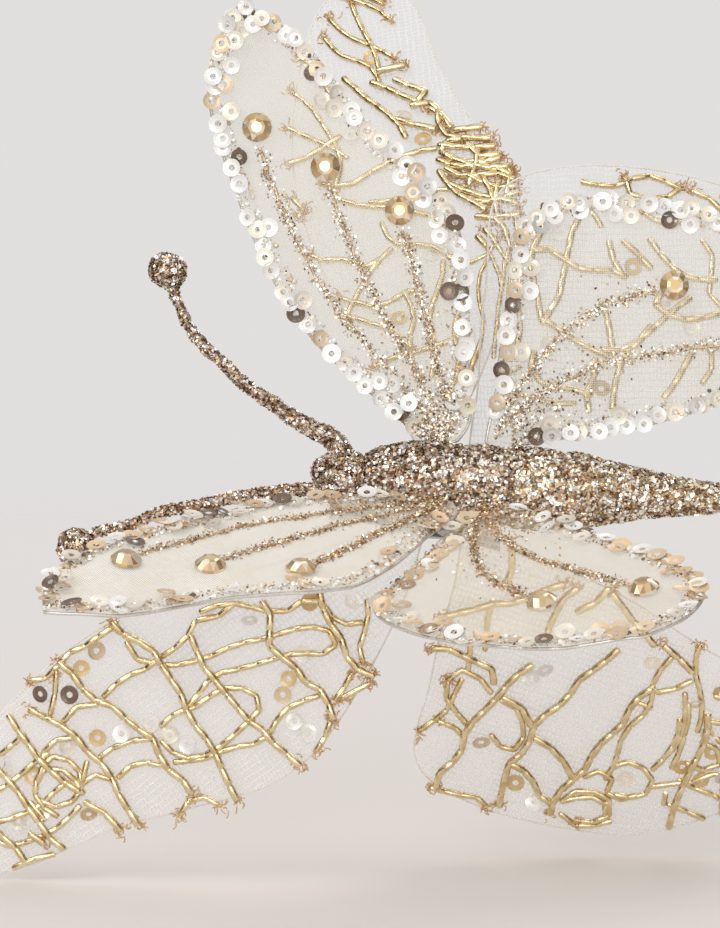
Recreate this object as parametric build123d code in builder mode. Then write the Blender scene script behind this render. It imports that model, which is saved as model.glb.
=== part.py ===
from build123d import *
import os
from dataclasses import dataclass
from math import cos, pi, radians, sin

# Butterfly ornament: a glitter-coated body on a spring clip, four organza wings edged with
# sequins, four corded mesh wings behind them, and two antennae with ball tips.
# Millimetres, +Z up. The origin is the middle of the clip's grip. The head points to -X, the
# tail to +X, and the butterfly is rolled so that its back faces up and towards -Y.

os.makedirs("parts", exist_ok=True)

# Posture of the body
body_slope_deg = 3.1
body_roll_deg = 45.0

# Body, measured along its axis from the thorax centre
thorax_front = 14.4
thorax_rear = 9.0
thorax_radius = 6.6
neck_radius = 3.4
thorax_rear_radius = 6.1
head_length = 8.2
head_radius = 4.0
head_face_radius = 2.8
head_rise = 0.8
waist_radius = 5.6
abdomen_length = 37.0
abdomen_radius = 6.5
abdomen_tip_radius = 1.0
tail_cap = 0.8
thorax_profile_shares = ((-0.62, 0.93), (-0.12, 1.0))
abdomen_profile_shares = ((0.14, 1.0), (0.43, 0.79), (0.78, 0.44))

# Spine wire inside the body
spine_radius = 0.6
spine_clearance = 0.05
spine_in_head = 4.2
spine_in_abdomen = 28.0

# Body pieces are faceted: sides round them, and rings along the thorax, head, abdomen and ball
body_sides = 20
ball_sides = 14
thorax_rings = 6
head_rings = 6
abdomen_rings = 9
ball_rings = 6
pole_share = 0.07
tail_end_radius = 0.35

# Wire roots of wings and antennae, which bend where they leave the body
wire_size = 0.8
hinge_depth = 0.7
socket_clearance = 0.34
socket_seat_gap = 0.3
socket_reach = 4.0

# Wing layers
sheet_thickness = 0.3
sheet_inset = 0.25
vein_width = 1.1
vein_height = 0.5
cord_width = 1.1
cord_height = 0.8
rim_steps = 34

# Gems and sequins
gem_radius = 2.4
gem_girdle = 0.5
gem_height = 1.7
gem_facets = 8
gem_taper_deg = 38.0
sequin_radius = 1.5
sequin_hole_radius = 0.6
sequin_height = 0.3
sequin_sides = 6
sequin_hole_sides = 4
sequin_inset = 0.9
sequin_root_share = 0.05

# Organza forewing, in shares of its length and width
forewing_length = 79.5
forewing_width = 31.0
forewing_lead_shares = ((0.05, 0.035), (0.09, 0.15), (0.3, 0.4), (0.5, 0.475), (0.71, 0.445),
                        (0.9, 0.32), (1.0, 0.03))
forewing_trail_shares = ((1.0, 0.03), (0.9, -0.155), (0.7, -0.285), (0.53, -0.455),
                         (0.43, -0.515), (0.32, -0.46), (0.2, -0.335), (0.08, -0.19),
                         (0.05, -0.035))
forewing_gem_shares = ((0.755, 0.218), (0.623, -0.018), (0.48, -0.275))
forewing_vein_shares = (
    ((0.085, 0.05), (0.21, 0.135), (0.4, 0.25), (0.57, 0.277), (0.715, 0.25)),
    ((0.085, -0.012), (0.23, 0.02), (0.43, 0.035), (0.585, 0.01)),
    ((0.08, -0.075), (0.18, -0.125), (0.31, -0.19), (0.44, -0.245)),
)
forewing_sequin_count = 22

# Organza hindwing, in shares of its length towards the tail and its reach from the body
hindwing_length = 51.5
hindwing_reach = 41.0
hindwing_lead_shares = ((0.022, 0.11), (0.035, 0.19), (0.054, 0.43), (0.084, 0.668),
                        (0.128, 0.91), (0.297, 1.0), (0.505, 1.0), (0.76, 0.93),
                        (0.99, 0.72))
hindwing_trail_shares = ((0.99, 0.72), (1.035, 0.45), (0.95, 0.285), (0.718, 0.18),
                         (0.515, 0.105), (0.28, 0.063), (0.12, 0.062), (0.072, 0.075))
hindwing_gem_shares = ((0.6, 0.66), (0.845, 0.445))
hindwing_vein_shares = (
    ((0.07, 0.16), (0.14, 0.305), (0.233, 0.44), (0.36, 0.566), (0.545, 0.642)),
    ((0.085, 0.13), (0.17, 0.212), (0.295, 0.305), (0.47, 0.372), (0.79, 0.432)),
)
hindwing_sequin_count = 18

# Mesh forewing and its cord lattice
mesh_forewing_length = 99.0
mesh_forewing_width = 37.5
mesh_forewing_lead_shares = ((0.046, 0.03), (0.18, 0.173), (0.3, 0.293), (0.42, 0.4),
                             (0.56, 0.467), (0.69, 0.453), (0.81, 0.387), (0.93, 0.24),
                             (1.0, 0.02))
mesh_forewing_trail_shares = ((1.0, 0.02), (0.9, -0.16), (0.785, -0.237), (0.647, -0.352),
                              (0.533, -0.475), (0.43, -0.533), (0.32, -0.477),
                              (0.206, -0.35), (0.09, -0.18), (0.046, -0.03))
mesh_forewing_cord_shares = (
    ((0.22, 0.35), (0.17, 0.0), (0.15, -0.5)),
    ((0.35, 0.55), (0.31, 0.0), (0.27, -0.6)),
    ((0.48, 0.6), (0.45, 0.05), (0.4, -0.6)),
    ((0.62, 0.6), (0.59, 0.0), (0.55, -0.6)),
    ((0.76, 0.6), (0.72, 0.05), (0.69, -0.5)),
    ((0.9, 0.5), (0.86, 0.0), (0.83, -0.4)),
    ((0.07, 0.03), (0.36, 0.22), (0.62, 0.26), (0.95, 0.14)),
    ((0.07, -0.03), (0.33, -0.06), (0.64, -0.08), (0.97, -0.02)),
    ((0.16, -0.2), (0.36, -0.31), (0.6, -0.3)),
)
mesh_forewing_sequin_shares = ((0.24, 0.03), (0.39, 0.09), (0.53, -0.19), (0.52, 0.36),
                               (0.66, 0.1), (0.79, -0.15))

# Mesh hindwing and its cord lattice
mesh_hindwing_length = 61.8
mesh_hindwing_reach = 49.2
mesh_hindwing_cord_shares = (
    ((0.1, 0.12), (0.22, 0.5), (0.2, 1.1)),
    ((0.16, 0.1), (0.42, 0.55), (0.44, 1.1)),
    ((0.3, 0.02), (0.62, 0.5), (0.7, 1.05)),
    ((0.55, 0.02), (0.8, 0.42), (0.95, 0.9)),
    ((-0.02, 0.34), (0.28, 0.3), (0.62, 0.22), (1.05, 0.34)),
    ((-0.02, 0.62), (0.3, 0.66), (0.6, 0.58), (1.05, 0.62)),
    ((0.02, 0.84), (0.34, 0.88), (0.7, 0.8), (1.0, 0.82)),
)
mesh_hindwing_sequin_shares = ((0.295, 0.47), (0.49, 0.45), (0.71, 0.44), (0.32, 0.76),
                               (0.54, 0.735), (0.775, 0.72))

# Antennae: route from the head in shares of the antenna's reach, and the ball at the tip
antenna_radius = 1.0
antenna_sides = 8
antenna_clearance = 1.0
antenna_ball_radius = 3.0
antenna_in_ball = 1.6
right_antenna_reach = 43.8
left_antenna_reach = 45.5
right_antenna_root_shares = (-0.402, 0.03, 0.1)
right_antenna_route_shares = ((0.0, 0.0, 0.0), (-0.118, 0.036, 0.098), (-0.279, 0.08, 0.203),
                              (-0.423, 0.123, 0.335), (-0.58, 0.166, 0.515),
                              (-0.655, 0.194, 0.71))
left_antenna_root_shares = (-0.445, -0.062, -0.013)
left_antenna_route_shares = ((0.0, 0.0, 0.0), (-0.132, -0.043, 0.004), (-0.28, -0.093, -0.017),
                             (-0.445, -0.143, -0.041), (-0.61, -0.208, -0.075),
                             (-0.86, -0.334, -0.15))

# Spring clip under the thorax, measured from its hinge pin along the body
clip_flat_depth = 5.7
glue_thickness = 0.5
glue_length = 11.0
glue_width = 5.0
clip_width = 6.0
clip_gauge = 0.6
clip_ear_gauge = 0.5
clip_ear_radius = 1.3
clip_ear_gap = 0.1
clip_pin_station = -0.5
clip_pin_drop = 2.2
clip_floor_drop = 1.5
clip_nose = 19.0
clip_grip_length = 5.0
clip_jaw_gap = 0.1
clip_heel = 2.8
clip_handle = 9.2
clip_handle_drop = 4.2
pin_radius = 0.6
pin_clearance = 0.06
pin_head_radius = 0.95
pin_head_height = 0.35
spring_bore_clearance = 0.12
spring_wire = 0.5
spring_ribs = 4
spring_leg = 6.0
spring_leg_gap = 0.1

# Directions of the body: towards the tail, the back and the butterfly's right
tail_dir = Vector(cos(radians(body_slope_deg)), 0, -sin(radians(body_slope_deg)))
roll_dir = Vector(0, -sin(radians(body_roll_deg)), cos(radians(body_roll_deg)))
back_dir = (roll_dir - tail_dir * roll_dir.dot(tail_dir)).normalized()
right_dir = back_dir.cross(tail_dir)

# The clip's levels below the body axis, and the thorax centre seen from the grip
strip_top = clip_flat_depth + glue_thickness
strip_under = strip_top + clip_gauge
pin_depth = strip_under + clip_pin_drop
grip_station = clip_pin_station - clip_nose + clip_grip_length / 2
grip_depth = strip_under + clip_jaw_gap / 2
thorax_centre = back_dir * grip_depth - tail_dir * grip_station

body_profile = Plane(origin=thorax_centre, x_dir=tail_dir, z_dir=tail_dir.cross(back_dir))
spine_section = Plane(origin=thorax_centre, x_dir=right_dir, z_dir=tail_dir)
clip_pin_centre = thorax_centre + tail_dir * clip_pin_station - back_dir * pin_depth
clip_profile = Plane(origin=clip_pin_centre, x_dir=tail_dir, z_dir=tail_dir.cross(back_dir))


@dataclass
class Wing:
    """One wing's name, side (+1 right, -1 left), root on the thorax, and the directions it takes."""
    name: str
    side: int
    station: float
    around_deg: float
    heading_deg: float
    climb_deg: float
    twist_deg: float
    length: float
    width: float
    lead_shares: tuple
    trail_shares: tuple

    def hinge(self):
        """The point where the wing's wire bends, just under the thorax's surface."""
        around = radians(self.around_deg)
        outwards = right_dir * cos(around) + back_dir * sin(around)
        return thorax_centre + tail_dir * self.station + outwards * (thorax_radius - hinge_depth)

    def directions(self):
        """Unit vectors along the wing and towards its leading edge."""
        heading, climb = radians(self.heading_deg), radians(self.climb_deg)
        twist = radians(self.twist_deg)
        along = Vector(-cos(heading) * cos(climb), -sin(heading) * cos(climb), sin(climb))
        level = Vector(-sin(heading), cos(heading), 0)
        lead = level * cos(twist) + along.cross(level) * sin(twist)
        return along, lead

    def plane(self):
        """The underside of the cloth: x along the wing, z out of the face that shows."""
        along, lead = self.directions()
        face = along.cross(lead) * self.side
        return Plane(origin=self.hinge() + face * (wire_size / 2), x_dir=along, z_dir=face)

    def at(self, share):
        """A place on the wing, from shares of its length and width."""
        return (share[0] * self.length, share[1] * self.width * self.side)

    def base(self):
        """The middle of the narrow end of the wing."""
        first, last = self.at(self.lead_shares[0]), self.at(self.trail_shares[-1])
        return Vector((first[0] + last[0]) / 2, (first[1] + last[1]) / 2)

    def socket_plane(self):
        """The bottom of the hole that the wire's root sits in."""
        plane, base = self.plane(), self.base()
        out = (plane.x_dir * base.X + plane.y_dir * base.Y).normalized()
        return Plane(origin=self.hinge() - out * socket_seat_gap, z_dir=out)


def wing_pair(kind, length, width, lead_shares, trail_shares, station, poses):
    """The right and left wing of one kind, each at its own place and angles."""
    return [Wing(f"{name}_{kind}", side, station, *angles, length, width, lead_shares, trail_shares)
            for name, side, angles in poses]


forewing_station = -0.5
hindwing_station = 5.0
mesh_forewing_station = -3.5
mesh_hindwing_station = 2.5

organza_forewings = wing_pair(
    "forewing", forewing_length, forewing_width, forewing_lead_shares, forewing_trail_shares,
    forewing_station, (("right", 1, (30.0, -17.5, 64.0, 107.5)),
                       ("left", -1, (155.0, 40.5, -6.5, -15.5))))
organza_hindwings = wing_pair(
    "hindwing", hindwing_length, hindwing_reach, hindwing_lead_shares, hindwing_trail_shares,
    hindwing_station, (("right", 1, (30.0, -174.0, -1.5, -101.5)),
                       ("left", -1, (155.0, 141.5, -3.0, 18.0))))
mesh_forewings = wing_pair(
    "mesh_forewing", mesh_forewing_length, mesh_forewing_width, mesh_forewing_lead_shares,
    mesh_forewing_trail_shares, mesh_forewing_station,
    (("right", 1, (-20.0, -80.5, 54.5, 159.0)), ("left", -1, (200.0, -2.0, -37.0, -88.5))))
mesh_hindwings = wing_pair(
    "mesh_hindwing", mesh_hindwing_length, mesh_hindwing_reach, hindwing_lead_shares,
    hindwing_trail_shares, mesh_hindwing_station,
    (("right", 1, (5.0, -170.0, -1.0, -113.0)), ("left", -1, (200.0, -173.0, -18.5, 109.0))))
wings = organza_forewings + organza_hindwings + mesh_forewings + mesh_hindwings


def save(piece, name):
    """Label a finished piece and write it under its own name."""
    piece.part.label = name
    export_step(piece.part, f"parts/{name}.step")


def ring_points(curve, rings, first_share=0.0, last_share=1.0):
    """Evenly spaced points along a curve, between two shares of its length."""
    return [curve @ (first_share + (last_share - first_share) * ring / rings)
            for ring in range(rings + 1)]


def side_plane(section, turn, sides):
    """The plane through a faceted body's axis that is square to one pair of its flats."""
    angle = (2 * turn + 1) * pi / sides
    flat = section.x_dir * cos(angle) + section.y_dir * sin(angle)
    return Plane(origin=section.origin, x_dir=section.z_dir, z_dir=section.z_dir.cross(flat))


def side_outline(rings, sides):
    """What a faceted body shows from its side: one flat's line, and back along the other's."""
    flat = cos(pi / sides)
    return ([(ring.X, ring.Y * flat) for ring in rings]
            + [(ring.X, -ring.Y * flat) for ring in reversed(rings)])


def bend(points):
    """Pairs of neighbouring points along a bent line."""
    return list(zip(points[:-1], points[1:]))


def strips(points, width):
    """A bent strip drawn as one bar per run, each as far past its ends as half its width."""
    for start, end in bend([Vector(*point) for point in points]):
        run = end - start
        with Locations(Location((start + end) / 2, Vector(0, 0, 1), run.get_angle(Vector(1, 0, 0))
                                * (1 if run.Y >= 0 else -1))):
            Rectangle(run.length + width, width)


def rim_places(wing, count, inset, root_share=0.0):
    """Evenly spaced places along the wing's curved edge, a set distance inside it."""
    lead = Spline(*[wing.at(share) for share in wing.lead_shares], mode=Mode.PRIVATE)
    trail = Spline(*[wing.at(share) for share in wing.trail_shares], mode=Mode.PRIVATE)
    total = lead.length + trail.length
    places = []
    for step in range(count + 1):
        travel = total * (root_share + (1 - 2 * root_share) * step / count)
        curve, part = (lead, travel) if travel < lead.length else (trail, travel - lead.length)
        share = min(part / curve.length, 1)
        point, heading = curve.position_at(share), curve.tangent_at(share)
        inwards = Vector(heading.Y, -heading.X) * wing.side
        places.append(point + inwards * inset)
    return places


def sequins(wing, plane, places, name):
    """Flat washers lying on the cloth."""
    with BuildPart() as piece:
        with BuildSketch(plane.offset(sheet_thickness)):
            with Locations(*places):
                RegularPolygon(sequin_radius, sequin_sides)
                RegularPolygon(sequin_hole_radius, sequin_hole_sides, mode=Mode.SUBTRACT)
        extrude(amount=sequin_height)
    save(piece, name)


# Thorax, with the sockets for the wing roots and the flat that the clip is glued to
with BuildPart() as thorax:
    crown = Spline((-thorax_front, neck_radius),
                   *[(share[0] * thorax_front, share[1] * thorax_radius)
                     for share in thorax_profile_shares],
                   (thorax_rear, thorax_rear_radius), mode=Mode.PRIVATE)
    for turn in range(body_sides // 2):
        with BuildSketch(side_plane(spine_section, turn, body_sides)):
            with BuildLine():
                Polyline(*side_outline(ring_points(crown, thorax_rings), body_sides), close=True)
            make_face()
        extrude(amount=2 * thorax_radius, both=True, mode=Mode.INTERSECT if turn else Mode.ADD)
    with BuildSketch(spine_section.offset(-thorax_front)):
        Circle(spine_radius + spine_clearance)
    extrude(amount=thorax_front + thorax_rear, mode=Mode.SUBTRACT)
    for wing in wings:
        with BuildSketch(wing.socket_plane()):
            Circle(wire_size / 2 ** 0.5 + socket_clearance)
        extrude(amount=socket_reach, mode=Mode.SUBTRACT)
    with BuildSketch(body_profile):
        with Locations((0, -clip_flat_depth - thorax_radius / 2)):
            Rectangle(2 * (thorax_front + thorax_rear), thorax_radius)
    extrude(amount=thorax_radius, both=True, mode=Mode.SUBTRACT)
save(thorax, "thorax")


@dataclass
class Antenna:
    """One antenna: its side, its reach, its root from the thorax centre and its route."""
    name: str
    reach: float
    root_shares: tuple
    route_shares: tuple

    def route(self):
        """The points that the coated wire follows, from the head to the ball's centre."""
        root = thorax_centre + Vector(*self.root_shares) * self.reach
        return [root + Vector(*share) * self.reach for share in self.route_shares]

    def out(self):
        """The direction in which the wire leaves the head."""
        points = self.route()
        return (points[1] - points[0]).normalized()


antennae = [
    Antenna("right_antenna", right_antenna_reach, right_antenna_root_shares,
            right_antenna_route_shares),
    Antenna("left_antenna", left_antenna_reach, left_antenna_root_shares,
            left_antenna_route_shares),
]

# Head: a rounded bead that sits a little high on the neck, with two antenna sockets
head_section = Plane(origin=thorax_centre + back_dir * head_rise - tail_dir * thorax_front,
                     x_dir=back_dir, z_dir=tail_dir)
with BuildPart() as head:
    brow = ThreePointArc((-head_length, 0), (-head_length / 2, head_radius),
                         (0, head_face_radius), mode=Mode.PRIVATE)
    for turn in range(body_sides // 2):
        with BuildSketch(side_plane(head_section, turn, body_sides)):
            with BuildLine():
                Polyline(*side_outline(ring_points(brow, head_rings, pole_share), body_sides),
                         close=True)
            make_face()
        extrude(amount=2 * head_radius, both=True, mode=Mode.INTERSECT if turn else Mode.ADD)
    with BuildSketch(spine_section.offset(-thorax_front)):
        Circle(spine_radius + spine_clearance)
    extrude(amount=-spine_in_head, mode=Mode.SUBTRACT)
    for antenna in antennae:
        out = antenna.out()
        with BuildSketch(Plane(origin=antenna.route()[0] - out * socket_seat_gap, z_dir=out)):
            Circle(wire_size / 2 ** 0.5 + socket_clearance)
        extrude(amount=socket_reach, mode=Mode.SUBTRACT)
save(head, "head")

# Abdomen: a spindle that swells behind the waist and tapers to the tail
with BuildPart() as abdomen:
    back = Spline((thorax_rear, waist_radius),
                  *[(thorax_rear + share[0] * abdomen_length, share[1] * abdomen_radius)
                    for share in abdomen_profile_shares],
                  (thorax_rear + abdomen_length, abdomen_tip_radius), mode=Mode.PRIVATE)
    tail_end = Vector(thorax_rear + abdomen_length + tail_cap, tail_end_radius)
    for turn in range(body_sides // 2):
        with BuildSketch(side_plane(spine_section, turn, body_sides)):
            with BuildLine():
                Polyline(*side_outline(ring_points(back, abdomen_rings) + [tail_end], body_sides),
                         close=True)
            make_face()
        extrude(amount=2 * abdomen_radius, both=True, mode=Mode.INTERSECT if turn else Mode.ADD)
    with BuildSketch(spine_section.offset(thorax_rear)):
        Circle(spine_radius + spine_clearance)
    extrude(amount=spine_in_abdomen, mode=Mode.SUBTRACT)
save(abdomen, "abdomen")

# Spine wire through head, thorax and abdomen
with BuildPart() as spine_wire:
    with BuildSketch(spine_section.offset(-thorax_front - spine_in_head)):
        Circle(spine_radius)
    extrude(amount=spine_in_head + thorax_front + thorax_rear + spine_in_abdomen)
save(spine_wire, "spine_wire")

# Antennae: a coated wire with a bare square root in the head, and a ball on its end
for antenna in antennae:
    points = antenna.route()
    out = antenna.out()
    start = points[0] + out * (hinge_depth + antenna_clearance)
    path_points = [start] + points[1:]
    last_run = points[-1] - points[-2]
    end = points[-1] - last_run.normalized() * antenna_in_ball
    path_points[-1] = end
    with BuildPart() as stem:
        with BuildLine() as path:
            runs = [(b - a).length for a, b in bend(path_points)]
            turns = [radians((c - b).get_angle(b - a))
                     for a, b, c in zip(path_points, path_points[1:], path_points[2:])]
            radii = [0.45 * min(before, after) / (sin(turn / 2) / cos(turn / 2))
                     for before, after, turn in zip(runs, runs[1:], turns)]
            FilletPolyline(*path_points, radius=radii)
        with BuildSketch(Plane(origin=start, z_dir=out)):
            RegularPolygon(antenna_radius, antenna_sides)
        sweep()
        with BuildSketch(Plane(origin=points[0], z_dir=out)):
            Rectangle(wire_size, wire_size)
        extrude(amount=hinge_depth + antenna_clearance + wire_size)
    save(stem, f"{antenna.name}_stem")
    towards_root = (points[-2] - points[-1]).normalized()
    ball_section = Plane(origin=points[-1], x_dir=right_dir.cross(towards_root),
                         z_dir=towards_root)
    with BuildPart() as ball:
        dome = ThreePointArc((-antenna_ball_radius, 0), (0, antenna_ball_radius),
                             (antenna_ball_radius, 0), mode=Mode.PRIVATE)
        rings = ring_points(dome, ball_rings, pole_share, 1 - pole_share)
        for turn in range(ball_sides // 2):
            with BuildSketch(side_plane(ball_section, turn, ball_sides)):
                with BuildLine():
                    Polyline(*side_outline(rings, ball_sides), close=True)
                make_face()
            extrude(amount=2 * antenna_ball_radius, both=True,
                    mode=Mode.INTERSECT if turn else Mode.ADD)
        with BuildSketch(ball_section.offset(antenna_in_ball)):
            Circle(antenna_radius + spine_clearance)
        extrude(amount=antenna_ball_radius, mode=Mode.SUBTRACT)
    save(ball, f"{antenna.name}_tip")


# Wings: the wire rim with its root, then the cloth on top of it
for wing in wings:
    plane = wing.plane()
    base = wing.base()
    root_turn = base.get_angle(Vector(1, 0, 0)) * (1 if base.Y >= 0 else -1)
    with BuildPart() as rim:
        with BuildSketch(plane.offset(-wire_size)):
            with BuildLine():
                Polyline(*rim_places(wing, rim_steps, 0), close=True)
            make_face()
            with BuildLine():
                Polyline(*rim_places(wing, rim_steps, wire_size), close=True)
            make_face(mode=Mode.SUBTRACT)
            strips([wing.at(wing.lead_shares[0]), wing.at(wing.trail_shares[-1])], wire_size)
            with Locations(Location(base / 2, Vector(0, 0, 1), root_turn)):
                Rectangle(base.length, wire_size)
        extrude(amount=wire_size)
    save(rim, f"{wing.name}_wire")
    with BuildPart() as cloth:
        with BuildSketch(plane):
            with BuildLine():
                Polyline(*rim_places(wing, rim_steps, sheet_inset), close=True)
            make_face()
        extrude(amount=sheet_thickness)
    save(cloth, f"{wing.name}_tulle" if "mesh" in wing.name else f"{wing.name}_organza")

# Organza wings carry glitter veins, faceted gems and a row of sequins
organza_dressing = (
    (organza_forewings, forewing_vein_shares, forewing_gem_shares, forewing_sequin_count),
    (organza_hindwings, hindwing_vein_shares, hindwing_gem_shares, hindwing_sequin_count),
)
for pair, vein_shares, gem_shares, sequin_count in organza_dressing:
    for wing in pair:
        plane = wing.plane()
        with BuildPart() as veins:
            with BuildSketch(plane.offset(sheet_thickness)):
                for vein in vein_shares:
                    strips([wing.at(share) for share in vein], vein_width)
            extrude(amount=vein_height)
        save(veins, f"{wing.name}_veins")
        with BuildPart() as gems:
            with BuildSketch(plane.offset(sheet_thickness)):
                with Locations(*[wing.at(share) for share in gem_shares]):
                    RegularPolygon(gem_radius, gem_facets)
            extrude(amount=gem_girdle)
            with BuildSketch(plane.offset(sheet_thickness + gem_girdle)):
                with Locations(*[wing.at(share) for share in gem_shares]):
                    RegularPolygon(gem_radius, gem_facets)
            extrude(amount=gem_height - gem_girdle, taper=gem_taper_deg)
        save(gems, f"{wing.name}_gems")
        edge = rim_places(wing, sequin_count, sequin_inset, sequin_root_share)
        sequins(wing, plane, edge, f"{wing.name}_sequins")

# Mesh wings carry a lattice of cord and a few loose sequins
mesh_dressing = (
    (mesh_forewings, mesh_forewing_cord_shares, mesh_forewing_sequin_shares),
    (mesh_hindwings, mesh_hindwing_cord_shares, mesh_hindwing_sequin_shares),
)
for pair, cord_shares, sequin_shares in mesh_dressing:
    for wing in pair:
        plane = wing.plane()
        with BuildPart() as cords:
            with BuildSketch(plane.offset(sheet_thickness)):
                for cord in cord_shares:
                    strips([wing.at(share) for share in cord], cord_width)
                with BuildSketch(mode=Mode.INTERSECT):
                    with BuildLine():
                        Polyline(*rim_places(wing, rim_steps, sheet_inset), close=True)
                    make_face()
            extrude(amount=cord_height)
        save(cords, f"{wing.name}_cords")
        sequins(wing, plane, [wing.at(share) for share in sequin_shares], f"{wing.name}_sequins")

# Glue pad between the thorax's flat and the clip
with BuildPart() as glue_pad:
    with BuildSketch(body_profile):
        with Locations((clip_pin_station - glue_length / 4, -clip_flat_depth - glue_thickness / 2)):
            Rectangle(glue_length, glue_thickness)
    extrude(amount=glue_width / 2, both=True)
save(glue_pad, "clip_glue_pad")

# Fixed jaw: a straight strip with two ears that hold the pin
with BuildPart() as upper_jaw:
    with BuildSketch(clip_profile):
        with Locations(((clip_handle - clip_nose) / 2, clip_pin_drop + clip_gauge / 2)):
            Rectangle(clip_handle + clip_nose, clip_gauge)
    extrude(amount=clip_width / 2, both=True)
    for side in (1, -1):
        with BuildSketch(clip_profile.offset(side * (clip_width / 2 - clip_ear_gauge / 2))):
            with Locations((0, clip_pin_drop / 2)):
                Rectangle(2 * clip_ear_radius, clip_pin_drop)
            Circle(clip_ear_radius)
            Circle(pin_radius + pin_clearance, mode=Mode.SUBTRACT)
        extrude(amount=clip_ear_gauge / 2, both=True)
save(upper_jaw, "clip_upper_jaw")

# Moving jaw: a bent strip that rises to the grip, with two ears inside the fixed ones
inner_ear = clip_width / 2 - clip_ear_gauge - clip_ear_gap - clip_ear_gauge / 2
grip_line = clip_pin_drop - clip_jaw_gap
with BuildPart() as lower_jaw:
    with BuildSketch(clip_profile):
        with BuildLine():
            Polyline((-clip_nose, grip_line), (-clip_nose + clip_grip_length, grip_line),
                     (-clip_heel, -clip_floor_drop), (clip_heel, -clip_floor_drop),
                     (clip_handle, -clip_handle_drop),
                     (clip_handle, -clip_handle_drop - clip_gauge),
                     (clip_heel, -clip_floor_drop - clip_gauge),
                     (-clip_heel, -clip_floor_drop - clip_gauge),
                     (-clip_nose + clip_grip_length, grip_line - clip_gauge),
                     (-clip_nose, grip_line - clip_gauge), close=True)
        make_face()
    extrude(amount=clip_width / 2, both=True)
    for side in (1, -1):
        with BuildSketch(clip_profile.offset(side * inner_ear)):
            with Locations((0, -clip_floor_drop / 2)):
                Rectangle(2 * clip_ear_radius, clip_floor_drop)
            Circle(clip_ear_radius)
            Circle(pin_radius + pin_clearance, mode=Mode.SUBTRACT)
        extrude(amount=clip_ear_gauge / 2, both=True)
save(lower_jaw, "clip_lower_jaw")

# Hinge pin with a head at each end
with BuildPart() as clip_pin:
    with BuildSketch(clip_profile):
        Circle(pin_radius)
    extrude(amount=clip_width / 2, both=True)
    for side in (1, -1):
        with BuildSketch(clip_profile.offset(side * clip_width / 2)):
            Circle(pin_head_radius)
        extrude(amount=side * pin_head_height)
save(clip_pin, "clip_pin")

# Torsion spring: turns round the pin and a leg against each handle
spring_bore = pin_radius + spring_bore_clearance
spring_half = spring_ribs * spring_wire / 2
handle_slope = (clip_handle_drop - clip_floor_drop) / (clip_handle - clip_heel)
leg_floor = -clip_floor_drop - (spring_leg - clip_heel) * handle_slope
spring_profile = Plane(origin=clip_pin_centre, x_dir=right_dir, z_dir=tail_dir)
with BuildPart() as clip_spring:
    with BuildSketch(spring_profile):
        with BuildLine():
            ribs = [(-spring_half + spring_wire * step / 2,
                     spring_bore + spring_wire * (1.0 if step % 2 else 0.7))
                    for step in range(2 * spring_ribs + 1)]
            crest = Polyline(*ribs)
            Polyline(crest @ 1, (spring_half, spring_bore), (-spring_half, spring_bore), crest @ 0)
        make_face()
    revolve(axis=Axis(clip_pin_centre, right_dir))
    legs = (
        (1, ((0, spring_bore), (spring_leg, clip_pin_drop - spring_leg_gap - spring_wire))),
        (-1, ((0, -spring_bore - spring_wire), (clip_heel, -spring_bore - spring_wire),
              (spring_leg, leg_floor + spring_leg_gap))),
    )
    for side, low_line in legs:
        high_line = [(along, height + spring_wire) for along, height in reversed(low_line)]
        with BuildSketch(clip_profile.offset(side * (spring_half - spring_wire / 2))):
            with BuildLine():
                Polyline(*low_line, *high_line, close=True)
            make_face()
        extrude(amount=spring_wire / 2, both=True)
save(clip_spring, "clip_spring")
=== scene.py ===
"""Looks of a butterfly ornament: glittered body, sequined organza wings and corded mesh wings."""

import logging
import math
from dataclasses import dataclass
from enum import Enum

import bpy
import numpy as np
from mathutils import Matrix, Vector, noise


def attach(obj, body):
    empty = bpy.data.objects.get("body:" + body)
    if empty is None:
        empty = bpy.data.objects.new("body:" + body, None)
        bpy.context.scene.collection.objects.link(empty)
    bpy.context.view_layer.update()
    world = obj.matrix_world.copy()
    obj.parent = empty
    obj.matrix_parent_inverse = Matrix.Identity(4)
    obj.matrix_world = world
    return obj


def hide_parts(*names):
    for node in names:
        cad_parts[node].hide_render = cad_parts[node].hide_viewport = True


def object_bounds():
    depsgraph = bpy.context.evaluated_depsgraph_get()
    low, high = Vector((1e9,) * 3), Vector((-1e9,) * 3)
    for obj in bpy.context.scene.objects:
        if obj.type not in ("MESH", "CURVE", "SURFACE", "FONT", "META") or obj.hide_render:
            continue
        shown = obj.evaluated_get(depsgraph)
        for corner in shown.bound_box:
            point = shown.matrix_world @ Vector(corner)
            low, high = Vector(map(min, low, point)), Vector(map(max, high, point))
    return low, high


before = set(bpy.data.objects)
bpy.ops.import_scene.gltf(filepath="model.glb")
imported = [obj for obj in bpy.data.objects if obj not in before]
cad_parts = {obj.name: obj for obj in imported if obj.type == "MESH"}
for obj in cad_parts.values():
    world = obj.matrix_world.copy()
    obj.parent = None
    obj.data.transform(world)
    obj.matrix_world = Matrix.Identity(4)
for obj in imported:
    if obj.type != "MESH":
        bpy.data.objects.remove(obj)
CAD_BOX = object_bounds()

log = logging.getLogger("butterfly")

MM = 0.001  # Sizes below are in millimetres; meshes are in metres.

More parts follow.
